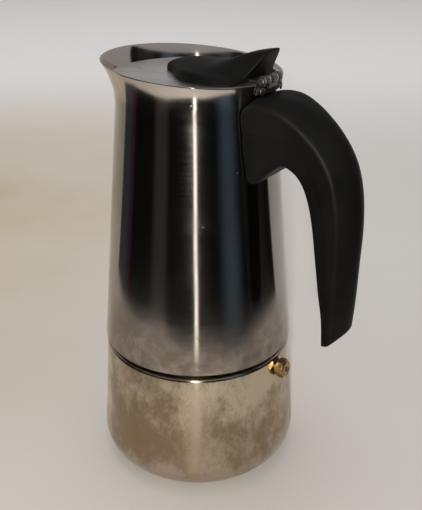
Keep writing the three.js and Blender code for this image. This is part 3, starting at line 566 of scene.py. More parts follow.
def make_funnel():
    rim_low = NECK_TOP_Z + GAP
    rim_top = rim_low + 0.8
    collar, cup_r, cup_floor, floor_low = 5.7, 34.6, 62, 58
    cup = [
        (collar, floor_low - 4),
        (collar + 0.8, floor_low - 4),
        (collar + 1.2, floor_low),
        (cup_r - 3, cup_floor - 1.3),
        (cup_r, cup_floor + 2),
        (cup_r, rim_low),
        (NECK_R + 0.2, rim_low),
        (NECK_R + 0.2, rim_top),
        (cup_r - 0.8, rim_top),
        (cup_r - 0.8, cup_floor + 2.4),
        (cup_r - 3.4, cup_floor + 0.3),
        (7.5, floor_low + 1),
        (collar, floor_low),
    ]
    lathe("funnel_bowl", turned_ring(cup, 0.5), "funnel", "pressed_steel", ["funnel_cup"])

    def slanted(p):
        """The stem's lower end is cut away in an arch."""
        x, y, z = p
        if z > 9:
            return p
        arch = -0.6 + math.sqrt(max(0.0, 100 - x * x))
        return (x, y, max(z, arch))

    bore, outer, foot, top = 4.4, 5.4, 8, 57.7
    stem = [(bore, foot), (bore, 20), (bore, top - 0.2), (bore + 0.2, top)]
    stem += [(outer - 0.2, top), (outer, top - 0.2), (outer, 20), (outer, foot)]
    lathe("funnel_stem", stem, "funnel", "pressed_steel", ["funnel_tube"], count=72, move=slanted)
    perforated("funnel_sieve", 32.8, 64, 0.8, "funnel", ["funnel_strainer"])
    perforated("filter_disc", 33, 82.5, 0.8, "seal_stack", ["filter_plate"])
    seal = [
        (30.5, rim_top + GAP),
        (37.4, rim_top + GAP),
        (37.4, FLOOR_Z - GAP),
        (33.3, FLOOR_Z - GAP),
        (33.3, 82.2),
        (30.5, 82.2),
    ]
    lathe("seal_ring", turned_ring(seal, 0.35), "seal_stack", "silicone", ["gasket_ring"])


# ------------------------------------------------------------------ upper pot


def pot_r(z):
    return SKIRT_R - TAPER * (z - SKIRT_Z) + FLARE_RATE * max(0, z - FLARE_Z) ** 2


def rim_height(a):
    """Height of the slanted rim in a direction round the pot, lowered behind the hinge."""
    z = RIM_Z
    for _ in range(30):
        z = RIM_Z - RIM_SLOPE * pot_r(z) * math.cos(a)
    if math.cos(a) > 0 and abs(pot_r(z) * math.sin(a)) < NOTCH_HALF:
        return HINGE_Z - KNUCKLE_R - 0.7
    return z


def nearest_angle(angles, wanted):
    return min(range(len(angles)), key=lambda j: abs(math.remainder(angles[j] - wanted, 2 * math.pi)))


def make_shell():
    notch = math.asin(NOTCH_HALF / pot_r(197))
    angles = [2 * math.pi * j / SHELL_COUNT for j in range(SHELL_COUNT)]
    for side in (-1, 1):
        nearest = nearest_angle(angles, side * notch)
        step = side * 0.004
        angles[nearest] = side * notch - step
        follow = (nearest + side) % SHELL_COUNT
        angles[follow] = side * notch + step
    rims = [rim_height(a) for a in angles]
    rows = []
    heights = [i / 26 for i in range(27)]
    spread = [t * 0.80 if t < 0.4 else 0.32 + (t - 0.4) / 0.6 * 0.68 for t in heights]
    spread[1:1] = [0.004]
    spread[-1:] = [0.985, 0.9965, 1.0]
    lip = 0.22

    def row(offset, fraction, drop=0.0):
        out = []
        for a, top in zip(angles, rims):
            z = SKIRT_Z + (top - lip - SKIRT_Z) * fraction + drop
            r = pot_r(z) + offset
            out.append((r * math.cos(a), r * math.sin(a), z))
        return out

    rows.append(row(-0.2, 0, 0.0))
    rows.append(row(0, 0, 0.18))
    rows += [row(0, t) for t in spread[1:]]
    rows.append(row(-0.08, 1, lip * 0.65))
    rows.append(row(-0.28, 1, lip))
    rows.append(row(-POT_WALL + 0.28, 1, lip))
    rows.append(row(-POT_WALL + 0.08, 1, lip * 0.65))
    rows += [row(-POT_WALL, t) for t in reversed(spread[1:])]
    rows.append(row(-POT_WALL, 0, 0.18))
    rows.append(row(-POT_WALL + 0.2, 0, 0.0))
    points = [p for r in rows for p in r]
    faces = grid_faces(len(rows), SHELL_COUNT, True)
    mesh_object("pot_shell", points, faces, "upper_pot", "polished_steel", ["upper_shell"])


def make_pot():
    make_shell()
    floor_r = pot_r(FLOOR_Z + FLOOR_THICK) - POT_WALL - GAP
    floor_top, floor_bore = FLOOR_Z + FLOOR_THICK, 7.3
    floor = [(floor_bore, FLOOR_Z), (floor_r, FLOOR_Z), (floor_r, floor_top), (floor_bore, floor_top)]
    lathe("pot_bottom", turned_ring(floor, 0.3), "upper_pot", "pressed_steel", ["pot_floor"])
    skirt = SKIRT_Z + 0.6
    outer = pot_r(skirt) - POT_WALL - GAP
    inner, top = COLLAR_BORE_R, FLOOR_Z - GAP
    collar = [(inner, skirt), (outer, skirt), (outer - 0.1, skirt + 1), (40, skirt + 1)]
    collar += [(40, top), (inner, top)]
    lathe("collar_sleeve", turned_ring(collar, 0.3), "upper_pot", "pressed_steel", ["thread_collar"])
    screw_ridge("collar_thread", COLLAR_BORE_R, COLLAR_BORE_R - 0.7, "upper_pot", "pressed_steel")
    foot = FLOOR_Z + FLOOR_THICK + GAP
    column = [
        (RISER_BORE_R, FLOOR_Z + GAP),
        (7, FLOOR_Z + GAP),
        (7, foot),
        (12, foot),
        (12, foot + 0.8),
        (9, foot + 1.4),
        (6.4, foot + 14),
        (RISER_R, foot + 34),
        (RISER_R, RISER_TOP_Z),
        (RISER_BORE_R, RISER_TOP_Z),
    ]
    lathe("riser_tube", turned_ring(column, 0.4), "upper_pot", "pressed_steel", ["riser_column"], count=96)
    make_cap()


def make_cap():
    """The riser's cap: a domed sleeve with a slot through both sides."""
    bore, low, high = RISER_R + GAP, 153, 167
    outer = bore + 1.2
    profile = [(bore, low), (outer - 0.2, low), (outer, low + 0.3), (outer, 159), (outer, 163)]
    profile += arc((outer - 4, high - 4), 4, 8, 90, 10)
    profile += [(0, high), (0, high - 1.2), (bore - 2.6, high - 1.4)]
    profile += [(bore, high - 3.6), (bore, 163), (bore, 159)]
    made = lathe("riser_hood", profile, "upper_pot", "pressed_steel", ["riser_cap"], count=96)
    cutter_mesh = bpy.data.meshes.new("slot_tool")
    work = bmesh.new()
    bmesh.ops.create_cube(work, size=1)
    for v in work.verts:
        v.co = (v.co.x * 0.02, v.co.y * 0.004, SLOT_Z * MM + v.co.z * 0.004)
    bmesh.ops.bevel(work, geom=[e for e in work.edges], offset=0.0012, segments=4, affect="EDGES")
    work.to_mesh(cutter_mesh)
    work.free()
    tool = new_object("slot_tool", cutter_mesh)
    modifier = made.modifiers.new("Slot", "BOOLEAN")
    modifier.operation = "DIFFERENCE"
    modifier.object = tool
    modifier.solver = "EXACT"
    result = evaluated_mesh(made)
    made.modifiers.clear()
    made.data = result
    bpy.data.objects.remove(tool)


# ------------------------------------------------------------------ handle

# One value for each of twelve stations from the pot to the handle's end: its outer and inner edges
# as (x, z), its half-widths there, the height and fullness of its crown, and the seam's place as a
# part of its depth. The cover ends at a fraction of the handle's length, and each half of a section
# has as many points above the seam and below it as is given.
HANDLE_OUTER = [
    (28, 187.5), (37, 192.2), (47, 193.2), (56, 190.8), (65, 185.5), (72.6, 178),
    (78.4, 168.5), (81.9, 156.4), (83.3, 142), (83.2, 124), (82.9, 106), (82.3, 93.8),
]
HANDLE_INNER = [
    (28, 156.4), (39.5, 156.6), (44.4, 161.4), (49.8, 165), (55.2, 161.9), (58.9, 156.7),
    (61.6, 150), (64, 140), (66.1, 127), (68.5, 111.5), (70.9, 97), (71.7, 84),
]
HANDLE_WIDTH = [16, 16, 15, 14, 13.3, 13, 13, 12.8, 12.6, 12.2, 11.7, 11]
HANDLE_INNER_WIDTH = [15.6, 15.4, 13.4, 11.2, 9.6, 9, 9, 9, 9, 8.8, 8.4, 7.8]
HANDLE_CROWN = [3.6, 3.8, 4.6, 6.4, 7.2, 7.2, 7, 6.6, 6, 5.4, 5, 4.6]
HANDLE_FULLNESS = [5, 5, 4, 2.8, 2, 1.8, 1.8, 1.8, 1.8, 1.8, 1.9, 2]
HANDLE_SEAM = [0.64, 0.62, 0.5, 0.43, 0.4, 0.37, 0.36, 0.36, 0.36, 0.36, 0.36, 0.36]
COVER_END, SEAM_GAP, SIDE_BEND = 0.955, 0.06, 0.76
UPPER_POINTS, LOWER_POINTS = 26, 14


def catmull(points, t):
    """A point at a fraction along a centripetal Catmull-Rom curve."""
    points = [Vector(p) for p in points]
    count = len(points)
    place = (count - 1) * t
    index = min(int(place), count - 2)
    w = place - index
    p1, p2 = points[index], points[index + 1]
    p0 = points[index - 1] if index > 0 else p1 * 2 - p2
    p3 = points[index + 2] if index + 2 < count else p2 * 2 - p1
    d0, d1, d2 = (max((b - a).length, 1e-8) ** 0.5 for a, b in ((p0, p1), (p1, p2), (p2, p3)))
    if d1 < 1e-4:
        d1 = 1
    d0, d2 = (d1 if d < 1e-4 else d for d in (d0, d2))
    t1 = ((p1 - p0) / d0 - (p2 - p0) / (d0 + d1) + (p2 - p1) / d1) * d1
    t2 = ((p2 - p1) / d1 - (p3 - p1) / (d1 + d2) + (p3 - p2) / d2) * d1
    return p1 + t1 * w + (p1 * -3 + p2 * 3 - t1 * 2 - t2) * w**2 + (p1 * 2 - p2 * 2 + t1 + t2) * w**3


def along(values, t):
    return catmull([(v, 0) for v in values], t)[0]


def handle_station(t):
    """The inner edge, the direction across, the depth and the slant of a section."""
    inner, outer = catmull(HANDLE_INNER, t), catmull(HANDLE_OUTER, t)
    depth = (outer - inner).length
    across = (outer - inner) / depth
    ahead = (catmull(HANDLE_OUTER, min(t + 1e-4, 1)) - catmull(HANDLE_OUTER, max(t - 1e-4, 0))).normalized()
    lean = abs(ahead[0] * across[1] - ahead[1] * across[0])
    return inner, across, depth, lean


def resample(line, count):
    """Points spread evenly along a line of 2-D points."""
    line = [Vector(p) for p in line]
    lengths = [0.0]
    for a, b in zip(line, line[1:]):
        lengths.append(lengths[-1] + (b - a).length)
    out = []
    k = 0
    for i in range(count):
        target = lengths[-1] * i / (count - 1)
        while k < len(line) - 2 and lengths[k + 1] < target:
            k += 1
        span = max(lengths[k + 1] - lengths[k], 1e-9)
        out.append(line[k].lerp(line[k + 1], min(max((target - lengths[k]) / span, 0), 1)))
    return out


def handle_half(t, inset=0.0):
    """Half of the handle's section as (depth, y), from its crest to its inner edge, in two parts
    that meet at the seam."""
    _, _, depth, lean = handle_station(t)
    width, inner = along(HANDLE_WIDTH, t) - inset, along(HANDLE_INNER_WIDTH, t) - inset
    crown, fullness = along(HANDLE_CROWN, t) / lean, along(HANDLE_FULLNESS, t)
    top = depth - inset
    line = []
    for k in range(13):
        y = SIDE_BEND * k / 12
        line.append((top - crown * y**fullness, width * y))
    corner = top - crown * SIDE_BEND ** (fullness - 1) * (SIDE_BEND + fullness * (1 - SIDE_BEND))
    line.append((corner, width))
    line.append(((top - crown) * 0.5 + 1, (width + inner) / 2 + 0.4))
    line += [(2 + inset, inner), (0.6 + inset, inner - 0.8), (inset, inner - 2.4)]
    line = soften(line, 3.2, steps=7)
    seam = along(HANDLE_SEAM, t) * depth
    cut = next(i for i, p in enumerate(line) if p[0] < seam)
    a, b = Vector(line[cut - 1]), Vector(line[cut])
    meet = a.lerp(b, (a[0] - seam) / max(a[0] - b[0], 1e-9))
    upper = resample(line[:cut] + [tuple(meet)], UPPER_POINTS)
    lower = resample([tuple(meet)] + line[cut:] + [(inset, 0)], LOWER_POINTS)
    return upper, lower, seam


def handle_ring(t, part, inset=0.0):
    """A closed ring of the handle's shell or cover."""
    upper, lower, seam = handle_half(t, inset)
    if part == "shell":
        half = [(max(d, seam + SEAM_GAP), y) for d, y in upper]
        edge = half[-1][1]
        if t < COVER_END:
            half += [(seam + SEAM_GAP, edge * (1 - (k + 1) / LOWER_POINTS)) for k in range(LOWER_POINTS)]
        else:
            half += [tuple(p) for p in lower]
    else:
        edge = lower[0][1]
        across = [(seam - SEAM_GAP, edge * k / 6) for k in range(6)]
        half = across + [(min(d, seam - SEAM_GAP), y) for d, y in lower]
    inner, across_dir, _, _ = handle_station(t)
    return [(inner + across_dir * d, y) for d, y in half]


def handle_mesh(name, part, replaces):
    fine = 200
    limit = 1.0 if part == "shell" else COVER_END - 0.0008
    rings = [handle_ring(limit * i / fine, part) for i in range(fine + 1)]
    count = len(rings[0])

    def at(k, s):
        place = s * fine
        i = min(int(place), fine - 1)
        (p, y), (q, v) = rings[i][k], rings[i + 1][k]
        w = place - i
        return p.lerp(q, w), y + (v - y) * w

    def outside(p, y):
        return math.hypot(p[0], y) - pot_r(p[1]) - GAP

    starts = []
    for k in range(count):
        first = next(i for i in range(fine) if outside(*rings[i + 1][k]) > 0)
        low, high = first / fine, (first + 1) / fine
        for _ in range(30):
            middle = (low + high) / 2
            if outside(*at(k, middle)) > 0:
                high = middle
            else:
                low = middle
        starts.append(high)

    # Sections along the handle, closer together at its rounded foot and where the cover ends.
    sections = []
    steps = [0.0, 0.004, 0.009] + [0.012 + (1 - 0.012) * (i / 72) for i in range(1, 73)]
    if part == "shell":
        steps = sorted(steps + [COVER_END - 0.0002, COVER_END])
    insets = [0.75, 0.22, 0.0]
    for n, s in enumerate(steps):
        if s < 0.8:
            ring = [list(at(k, s + starts[k] * (1 - s) ** 2)) for k in range(count)]
        else:
            ring = [list(item) for item in handle_ring(limit * s, part)]
        if n < 3:
            centre = sum((p for p, _ in ring), Vector((0, 0))) / count
            for item in ring:
                out = (item[0] - centre).to_3d()
                out.z = item[1]
                pull = insets[n] / max(out.length, 1)
                item[0] = item[0] - (item[0] - centre) * pull
                item[1] *= 1 - pull
            if n == 0:
                for item in ring:
                    lack = pot_r(item[0][1]) + GAP - math.hypot(item[0][0], item[1])
                    item[0] = item[0] + Vector((lack, 0))
        sections.append(ring)

    if part == "shell":
        for inset, drop in ((0.12, 0.45), (0.45, 0.95), (1.0, 1.35), (1.9, 1.6)):
            ring = handle_ring(1.0, part, inset)
            sections.append([[p + Vector((0.05, -drop)), y] for p, y in ring])

    points = []
    for ring in sections:
        near = [(p[0], -y, p[1]) for p, y in ring]
        far = [(p[0], y, p[1]) for p, y in reversed(ring)]
        points += near + far
    columns = 2 * count
    faces = grid_faces(len(sections), columns)
    faces.append(tuple(range(columns)))
    faces.append(tuple(range((len(sections) - 1) * columns, len(sections) * columns)))
    mesh_object(name, points, faces, "upper_pot", "black_plastic", replaces, sharp=42)


# ------------------------------------------------------------------ hinge


def plate(name, low, high, body, slot, replaces):
    """A block with rounded edges."""
    points = []
    for y in (low[1], high[1]):
        points += [(low[0], y, low[2]), (high[0], y, low[2]), (high[0], y, high[2]), (low[0], y, high[2])]
    faces = grid_faces(2, 4) + [(0, 1, 2, 3), (4, 5, 6, 7)]
    mesh_object(name, points, faces, body, slot, replaces, bevel=0.2, sharp=50)


def hinge_place(p):
    """From a piece turned about Z to the hinge's axis, along Y."""
    return (HINGE_X + p[0], p[2], HINGE_Z + p[1])


def knuckle(name, low, high, body):
    """A tube along Y on the hinge's axis, with rounded ends."""
    bore, radius, edge, ease = 1.3, KNUCKLE_R, 0.3, 0.09
    profile = [(bore, low), (radius - edge, low), (radius - ease, low + ease), (radius, low + edge)]
    profile += [(radius, high - edge), (radius - ease, high - ease), (radius - edge, high), (bore, high)]
    lathe(name, profile, body, "dark_steel", count=40, move=hinge_place)


def make_hinge():
    foot_low, foot_high, wing, thick = 193.2, 196.7, 9.8, 0.9

    def bent(p):
        """The foot follows the flare."""
        x, y, z = p
        radius = pot_r(z) + GAP + x
        return (math.sqrt(max(radius**2 - y * y, 1)), y, z)

    columns = 33
    levels = [foot_low, foot_low + 0.9, foot_low + 1.8, 195.6, foot_high]
    room = HINGE_Z - KNUCKLE_R - GAP
    points = []
    for x in (0, thick):
        for level in levels:
            for j in range(columns):
                y = -wing + 2 * wing * j / (columns - 1)
                top = room if abs(y) < NOTCH_HALF else foot_high
                top -= 0.5 * max(0, abs(y) - wing + 1)
                points.append(bent((x, y, min(level, top))))
    size = len(levels) * columns
    faces = []
    for layer in (0, 1):
        sheet = grid_faces(len(levels), columns, False, False)
        faces += [tuple(layer * size + v for v in f) for f in sheet]
    for i in range(len(levels) - 1):
        for j in (0, columns - 1):
            a, b = i * columns + j, (i + 1) * columns + j
            faces.append((a, b, b + size, a + size))
    for i in (0, len(levels) - 1):
        for j in range(columns - 1):
            a, b = i * columns + j, i * columns + j + 1
            faces.append((a, b, b + size, a + size))
    mesh_object("hinge_foot", points, faces, "upper_pot", "dark_steel", ["hinge_bracket"], sharp=30)
    knuckle("hinge_middle_knuckle", -3, 3, "upper_pot")
    tongue = [(37.9, 194.2), (39.3, 195.2), (39.45, HINGE_Z), (38.6, HINGE_Z), (37.7, 196.4)]
    points = [(x, y, z) for y in (-3, 3) for x, z in tongue]
    faces = [tuple(range(5)), tuple(range(5, 10))]
    faces += [(i, (i + 1) % 5, (i + 1) % 5 + 5, i + 5) for i in range(5)]
    mesh_object("hinge_tongue", points, faces, "upper_pot", "dark_steel", bevel=0.2, sharp=30)

    rivet_z, rivet_y = 194.5, 7.4
    face = pot_r(rivet_z)
    head = face + 1.2 + 0.5
    profile = [(0, face - 2.2), (1.5, face - 2), (1.6, face - 1.5), (0.65, face - 1.4), (0.65, head)]
    profile += [(1.6, head), (1.6, head + 0.15), (1.35, head + 0.4), (0.75, head + 0.52), (0, head + 0.55)]
    for side, which in ((-1, "near"), (1, "far")):
        turn = side * math.asin(rivet_y / face)

        def place(p, turn=turn):
            x, y, z = p[2], p[1], -p[0]
            x, y = x * math.cos(turn) - y * math.sin(turn), x * math.sin(turn) + y * math.cos(turn)
            return (x, y, z + rivet_z)

        replaced = ["hinge_rivet_" + which]
        lathe("rivet_" + which, profile, "upper_pot", "dark_steel", replaced, count=32, move=place)

    near, far = HINGE_HALF + GAP, HINGE_HALF + 1
    pin = soften([(0, -far), (1.45, -far), (1.7, -far + 0.3), (1.7, -near), (1.2, -near)], 0.15)
    pin += [(r, -y) for r, y in reversed(pin)]
    lathe("hinge_axle", pin, "upper_pot", "dark_steel", ["hinge_pin"], count=32, move=hinge_place)

    leaf_low = LID_Z + GAP
    low, high = (19, -HINGE_HALF, leaf_low), (35.4, HINGE_HALF, leaf_low + 0.8)
    plate("hinge_plate", low, high, "lid", "dark_steel", ["hinge_leaf"])
    knuckle("hinge_knuckle_near", -HINGE_HALF, -3.3, "lid")
    knuckle("hinge_knuckle_far", 3.3, HINGE_HALF, "lid")


# ------------------------------------------------------------------ lid and lever


def lid_top(r):
    return LID_Z - LID_DISH * (1 - (r / LID_R) ** 2)


def make_lid():
    back = HINGE_X - KNUCKLE_R - 0.5
    count = SHELL_COUNT
    angles = [2 * math.pi * j / count for j in range(count)]
    corner = math.atan2(NOTCH_HALF, back)
    for side in (-1, 1):
        nearest = nearest_angle(angles, side * corner)
        angles[nearest] = side * corner
        outer = math.asin(NOTCH_HALF / LID_R)
        follow = (nearest + side) % count
        angles[follow] = side * max(outer, corner + 0.002)

    def reach(a):
        if math.cos(a) > 0 and abs(math.tan(a)) <= NOTCH_HALF / back + 1e-6:
            return back / math.cos(a)
        return LID_R

    fractions = [0, 0.12, 0.25, 0.4, 0.55, 0.7, 0.82, 0.9, 0.95]
    points = []
    rows = [(f, 0.0, 0.0) for f in fractions] + [(1, 0.0, 0.22), (1, 0.06, 0.08), (1, 0.2, 0.0)]
    rows += [(1, 0.6, 0.0), (1, 0.74, 0.08), (1, 0.8, 0.22)] + [(f, 0.8, 0.0) for f in reversed(fractions)]
    for fraction, drop, inset in rows:
        for a in angles:
            r = reach(a) * fraction - inset
            points.append((r * math.cos(a), r * math.sin(a), lid_top(r) - drop))
    mesh_object("lid_plate", points, grid_faces(len(rows), count), "lid", "lid_steel", ["lid_disc"])


# The lever is a leaf with a thumb tab rising from its middle, as in the CAD part.
LEVER_CREST = [
    (-15.2, 199.2), (-14, 200.4), (-12, 201.4), (-6.4, 203.1), (-1, 203.8), (3.3, 203.7),
    (10.6, 203.7), (15.7, 204.5), (19.7, 205.6), (24.7, 207.3), (28.5, 208.6), (33.3, 209.8),
    (38, 210.6), (42, 210.9),
]
LEAF_CREST = LEVER_CREST[:7] + [
    (15.7, 203.8), (19.7, 203.4), (24.7, 202.4), (28.5, 201.5), (33.3, 200.7),
    (42, 200.4),
]
LEAF_WIDTH = [
    (-15.2, 0.6), (-14.2, 2.1), (-9, 5.8), (-4, 10.1), (0, 13.8), (4.3, 16.9), (8, 18.8),
    (11.6, 19.9), (17, 20.5), (22, 20.4), (27, 19.4), (31, 17.4), (36, 14.8), (42, 13.4),
]
LEAF_EDGE = [
    (-15.2, 198.9), (-14.2, 199.2), (-9, 199.6), (-1.5, 200.3), (6.2, 201.1), (11, 201.1),
    (16.4, 200.7), (21.3, 200), (25.6, 199.2), (30.2, 198.6), (34.7, 198.4), (42, 198.4),
]
TAB_TOP_WIDTH = [(-15.2, 0.1), (12, 2), (20, 3.5), (25, 6.4), (31, 9.4), (36, 10.4), (42, 10.4)]
TAB_FOOT_WIDTH = [(-15.2, 0.3), (0, 12), (12, 18), (20, 16.5), (25, 15), (31, 13.2), (36, 12.6), (42, 12.3)]


def read_off(table, x):
    """A smooth value from a table of (x, value) points."""
    last = len(table) - 2
    k = next((i for i in range(last + 1) if table[i + 1][0] >= x), last)

    def slope(i):
        if i == 0 or i == len(table) - 1:
            a, b = (0, 1) if i == 0 else (len(table) - 2, len(table) - 1)
            return (table[b][1] - table[a][1]) / (table[b][0] - table[a][0])
        before = (table[i][1] - table[i - 1][1]) / (table[i][0] - table[i - 1][0])
        after = (table[i + 1][1] - table[i][1]) / (table[i + 1][0] - table[i][0])
        return 0.0 if before * after <= 0 else 2 * before * after / (before + after)

    (x0, v0), (x1, v1) = table[k], table[k + 1]
    span = x1 - x0
    t = min(max((x - x0) / span, 0), 1)
    a, b = slope(k) * span, slope(k + 1) * span
    return v0 + a * t + (3 * (v1 - v0) - 2 * a - b) * t**2 + (2 * (v0 - v1) + a + b) * t**3


def back_face(y, z):
    """Where the lever's leaning rear face is."""
    return 31.9 + 0.66 * (z - 199) - 0.003 * y * y


def lever_section(x, inset=0.0):
    """Half of the lever's section as (y, z), from its crest to its foot, moved inwards if asked."""
    leaf_crest, width, edge = (read_off(t, x) for t in (LEAF_CREST, LEAF_WIDTH, LEAF_EDGE))
    rise = read_off(LEVER_CREST, x) - leaf_crest
    foot = min(read_off(TAB_FOOT_WIDTH, x), 0.85 * width)
    top = min(read_off(TAB_TOP_WIDTH, x), 0.3 * width)
    stops = [top * k / 4 for k in range(5)]
    stops += [top + (foot - top) * k / 12 for k in range(1, 13)]
    stops += [foot + (width - foot) * math.sin(math.pi / 2 * k / 9) for k in range(1, 10)]
    line = []
    for y in stops:
        fall = min(max((y - top) / (foot - top), 0), 1)
        leaf = edge + (leaf_crest - edge) * (1 - (y / width) ** 2)
        rounding = 0.4 * max(0, (y - width + 0.8) / 0.8) ** 2
        line.append((y, leaf + rise * (1 - fall * fall * (3 - 2 * fall)) - rounding))
    reach = width * 1.03
    rest = lid_top(min(LID_R, math.hypot(x, reach))) + GAP
    brim = line[-1]
    for k in range(1, 5):
        line.append((width + (reach - width) * min(1, k / 3), brim[1] + (rest - brim[1]) * k / 4))
    if inset == 0:
        return line
    moved = []
    for k, (y, z) in enumerate(line):
        before, after = line[max(k - 1, 0)], line[min(k + 1, len(line) - 1)]
        run, drop = after[0] - before[0], after[1] - before[1]
        length = max(math.hypot(run, drop), 1e-6)
        moved.append((y + inset * drop / length if k else 0.0, z - inset * run / length))
    return moved


def make_lever():
    lines = len(lever_section(0))
    steps, front, edge = 72, LEVER_CREST[0][0], 0.8
    rings, ends = [], []
    for k in range(lines):
        x = 34.0
        for _ in range(40):
            x = 0.5 * x + 0.5 * (back_face(*lever_section(x)[k]) - edge)
        ends.append(x)
    for i in range(steps + 1):
        s = (i / steps) ** 1.25
        places = [front + (end - front) * s for end in ends]
        rings.append([(x, *lever_section(x)[k]) for k, x in enumerate(places)])
    # The rounding between the upper side and the leaning rear face.
    for angle in (18, 36, 54, 72, 90):
        over, inset = edge * math.sin(math.radians(angle)), edge * (1 - math.cos(math.radians(angle)))
        ring = []
        for k, x in enumerate(ends):
            y, z = lever_section(x, inset)[k]
            ring.append((back_face(y, z) - edge + over, y, z))
        rings.append(ring)
    points = []
    for ring in rings:
        points += [(x, -y, z) for x, y, z in reversed(ring)]
        points += [(x, y, z) for x, y, z in ring[1:]]
    columns = 2 * lines - 1
    faces = grid_faces(len(rings), columns, False, False)
    # The underside closes each section.
    for i in range(len(rings) - 1):
        a, b = i * columns, i * columns + columns - 1
        faces.append((a, b, b + columns, a + columns))
    # The rear face, in rows from side to side.
    across = 16
    start = len(points)
    for _, y, z in rings[-1]:
        for j in range(across + 1):
            v = -y + 2 * y * j / across
            points.append((back_face(v, z), v, z))
    faces += [tuple(start + v for v in f) for f in grid_faces(lines, across + 1, False, False)]
    faces.append(tuple(range(columns)))
    mesh_object("lever_leaf", points, faces, "lid", "black_plastic", ["lid_lever"], sharp=58)


def make_lever_screws():
    for x, name in ((6, "lever_screw_front"), (24, "lever_screw_rear")):
        under = lid_top(x) - LID_THICK - GAP
        profile = [(0, under - 1.6), (2.0, under - 1.6), (2.6, under - 0.9), (2.6, under)]
        profile = soften(profile + [(1, under), (1, 202), (0, 202)], 0.2)

        def place(p, x=x):
            return (p[0] + x, p[1], p[2])

        lathe(name + "_turned", profile, "lid", "pressed_steel", [name], count=40, move=place)


# ------------------------------------------------------------------ build


make_boiler()
make_valve()
make_funnel()
make_pot()
handle_mesh("handle_back", "shell", ["handle_shell"])
handle_mesh("handle_front", "cover", ["handle_cover"])
make_hinge()
make_lid()
make_lever()
make_lever_screws()

SLOTS = {part["node"]: part["material_slot"] for part in frame["record"]["subparts"]}
for name, piece in frame["nodes"].items():
    for place in piece.material_slots:
        place.material = MATERIALS[SLOTS[name]]


# ------------------------------------------------------------------ stage

FLOOR_HALF = 4.0
ROOM_TURN = -55
CAMERA_PLACE = Vector((0.18116, -0.25872, 0.25814))
CAMERA_AHEAD = Vector((-0.5022, 0.7504, -0.4297))

# The painted reflection room, a glowing sheet seen only in mirror reflections, stands round part of the
# object,
# at angles in degrees from ROOM_TURN: its span, the radius where its floor starts, and its lighter bands of
# painted reflection by middle, half-width, softness and colour.
ROOM_SPAN = (-113, 106)
ROOM_FAR, ROOM_HIGH = 2.6, 2.4
ROOM_EDGE = [
    (-113, 0.30), (-98, 0.262), (-75, 0.255), (-55, 0.268), (-42, 0.27), (-28, 0.25), (-8, 0.235),
    (12, 0.24), (40, 0.225), (70, 0.24), (106, 0.25),
]
PAINTED_REFLECTION_BANDS = [
    (41, 10, 8, (0.060, 0.086, 0.115)),
    (-47, 9, 4, (0.050, 0.045, 0.041)),
    # Painted highlight: a bright stripe that stands in for the flash's streak on the polished steel.
    (-2.0, 1.6, 1.2, (3.4, 3.25, 3.0)),
    (-105, 9, 4, (0.050, 0.052, 0.060)),
    (-93, 3, 3, (0.060, 0.018, 0.042)),
    (78, 14, 8, (0.022, 0.022, 0.020)),
]


def make_floor():
    made, tree, shader = start_material("pale_cloth", Roughness=0.9)
    place = node(tree, "TexCoord").outputs["Object"]

    def along_floor(x, y):
        """Distance across the floor in one direction, from the object's middle."""
        made = node(tree, "VectorMath", {0: place, 1: (x, y, 0)}, operation="DOT_PRODUCT")
        return made.outputs["Value"]

    across, deep = along_floor(0.831, 0.556), along_floor(-0.556, 0.831)
    wide = noise(tree, 6, detail=3)
    fine = noise(tree, 900, detail=3)
    colour = mix(tree, ramp(tree, across, -0.22, 0.16), rgb(0.56, 0.455, 0.31), rgb(0.67, 0.64, 0.61))
    colour = mix(tree, ramp(tree, wide, 0.2, 0.8, 0.0, 0.5), colour, rgb(0.72, 0.69, 0.66))
    # Painted shade and painted light: the cloth is darker towards the camera and paler far away, standing in
    # for how the lamps fall off.
    colour = mix(tree, ramp(tree, deep, -0.15, 0.35, 1.0, 0.0), colour, rgb(0.49, 0.465, 0.435))
    colour = mix(tree, ramp(tree, deep, 0.3, 1.1), colour, rgb(0.93, 0.91, 0.90))
    dress(tree, shader, colour, fine, 0.1, 0.0002)
    mesh = bpy.data.meshes.new("floor")
    r = FLOOR_HALF
    mesh.from_pydata([(-r, -r, 0), (r, -r, 0), (r, r, 0), (-r, r, 0)], [], [(0, 1, 2, 3)])
    mesh.materials.append(made)
    new_object("floor", mesh)


def glossy_only(thing):
    """Hides a stage piece from everything but mirror reflections."""
    thing.visible_camera = False
    thing.visible_diffuse = False
    thing.visible_shadow = False
    thing.visible_transmission = False


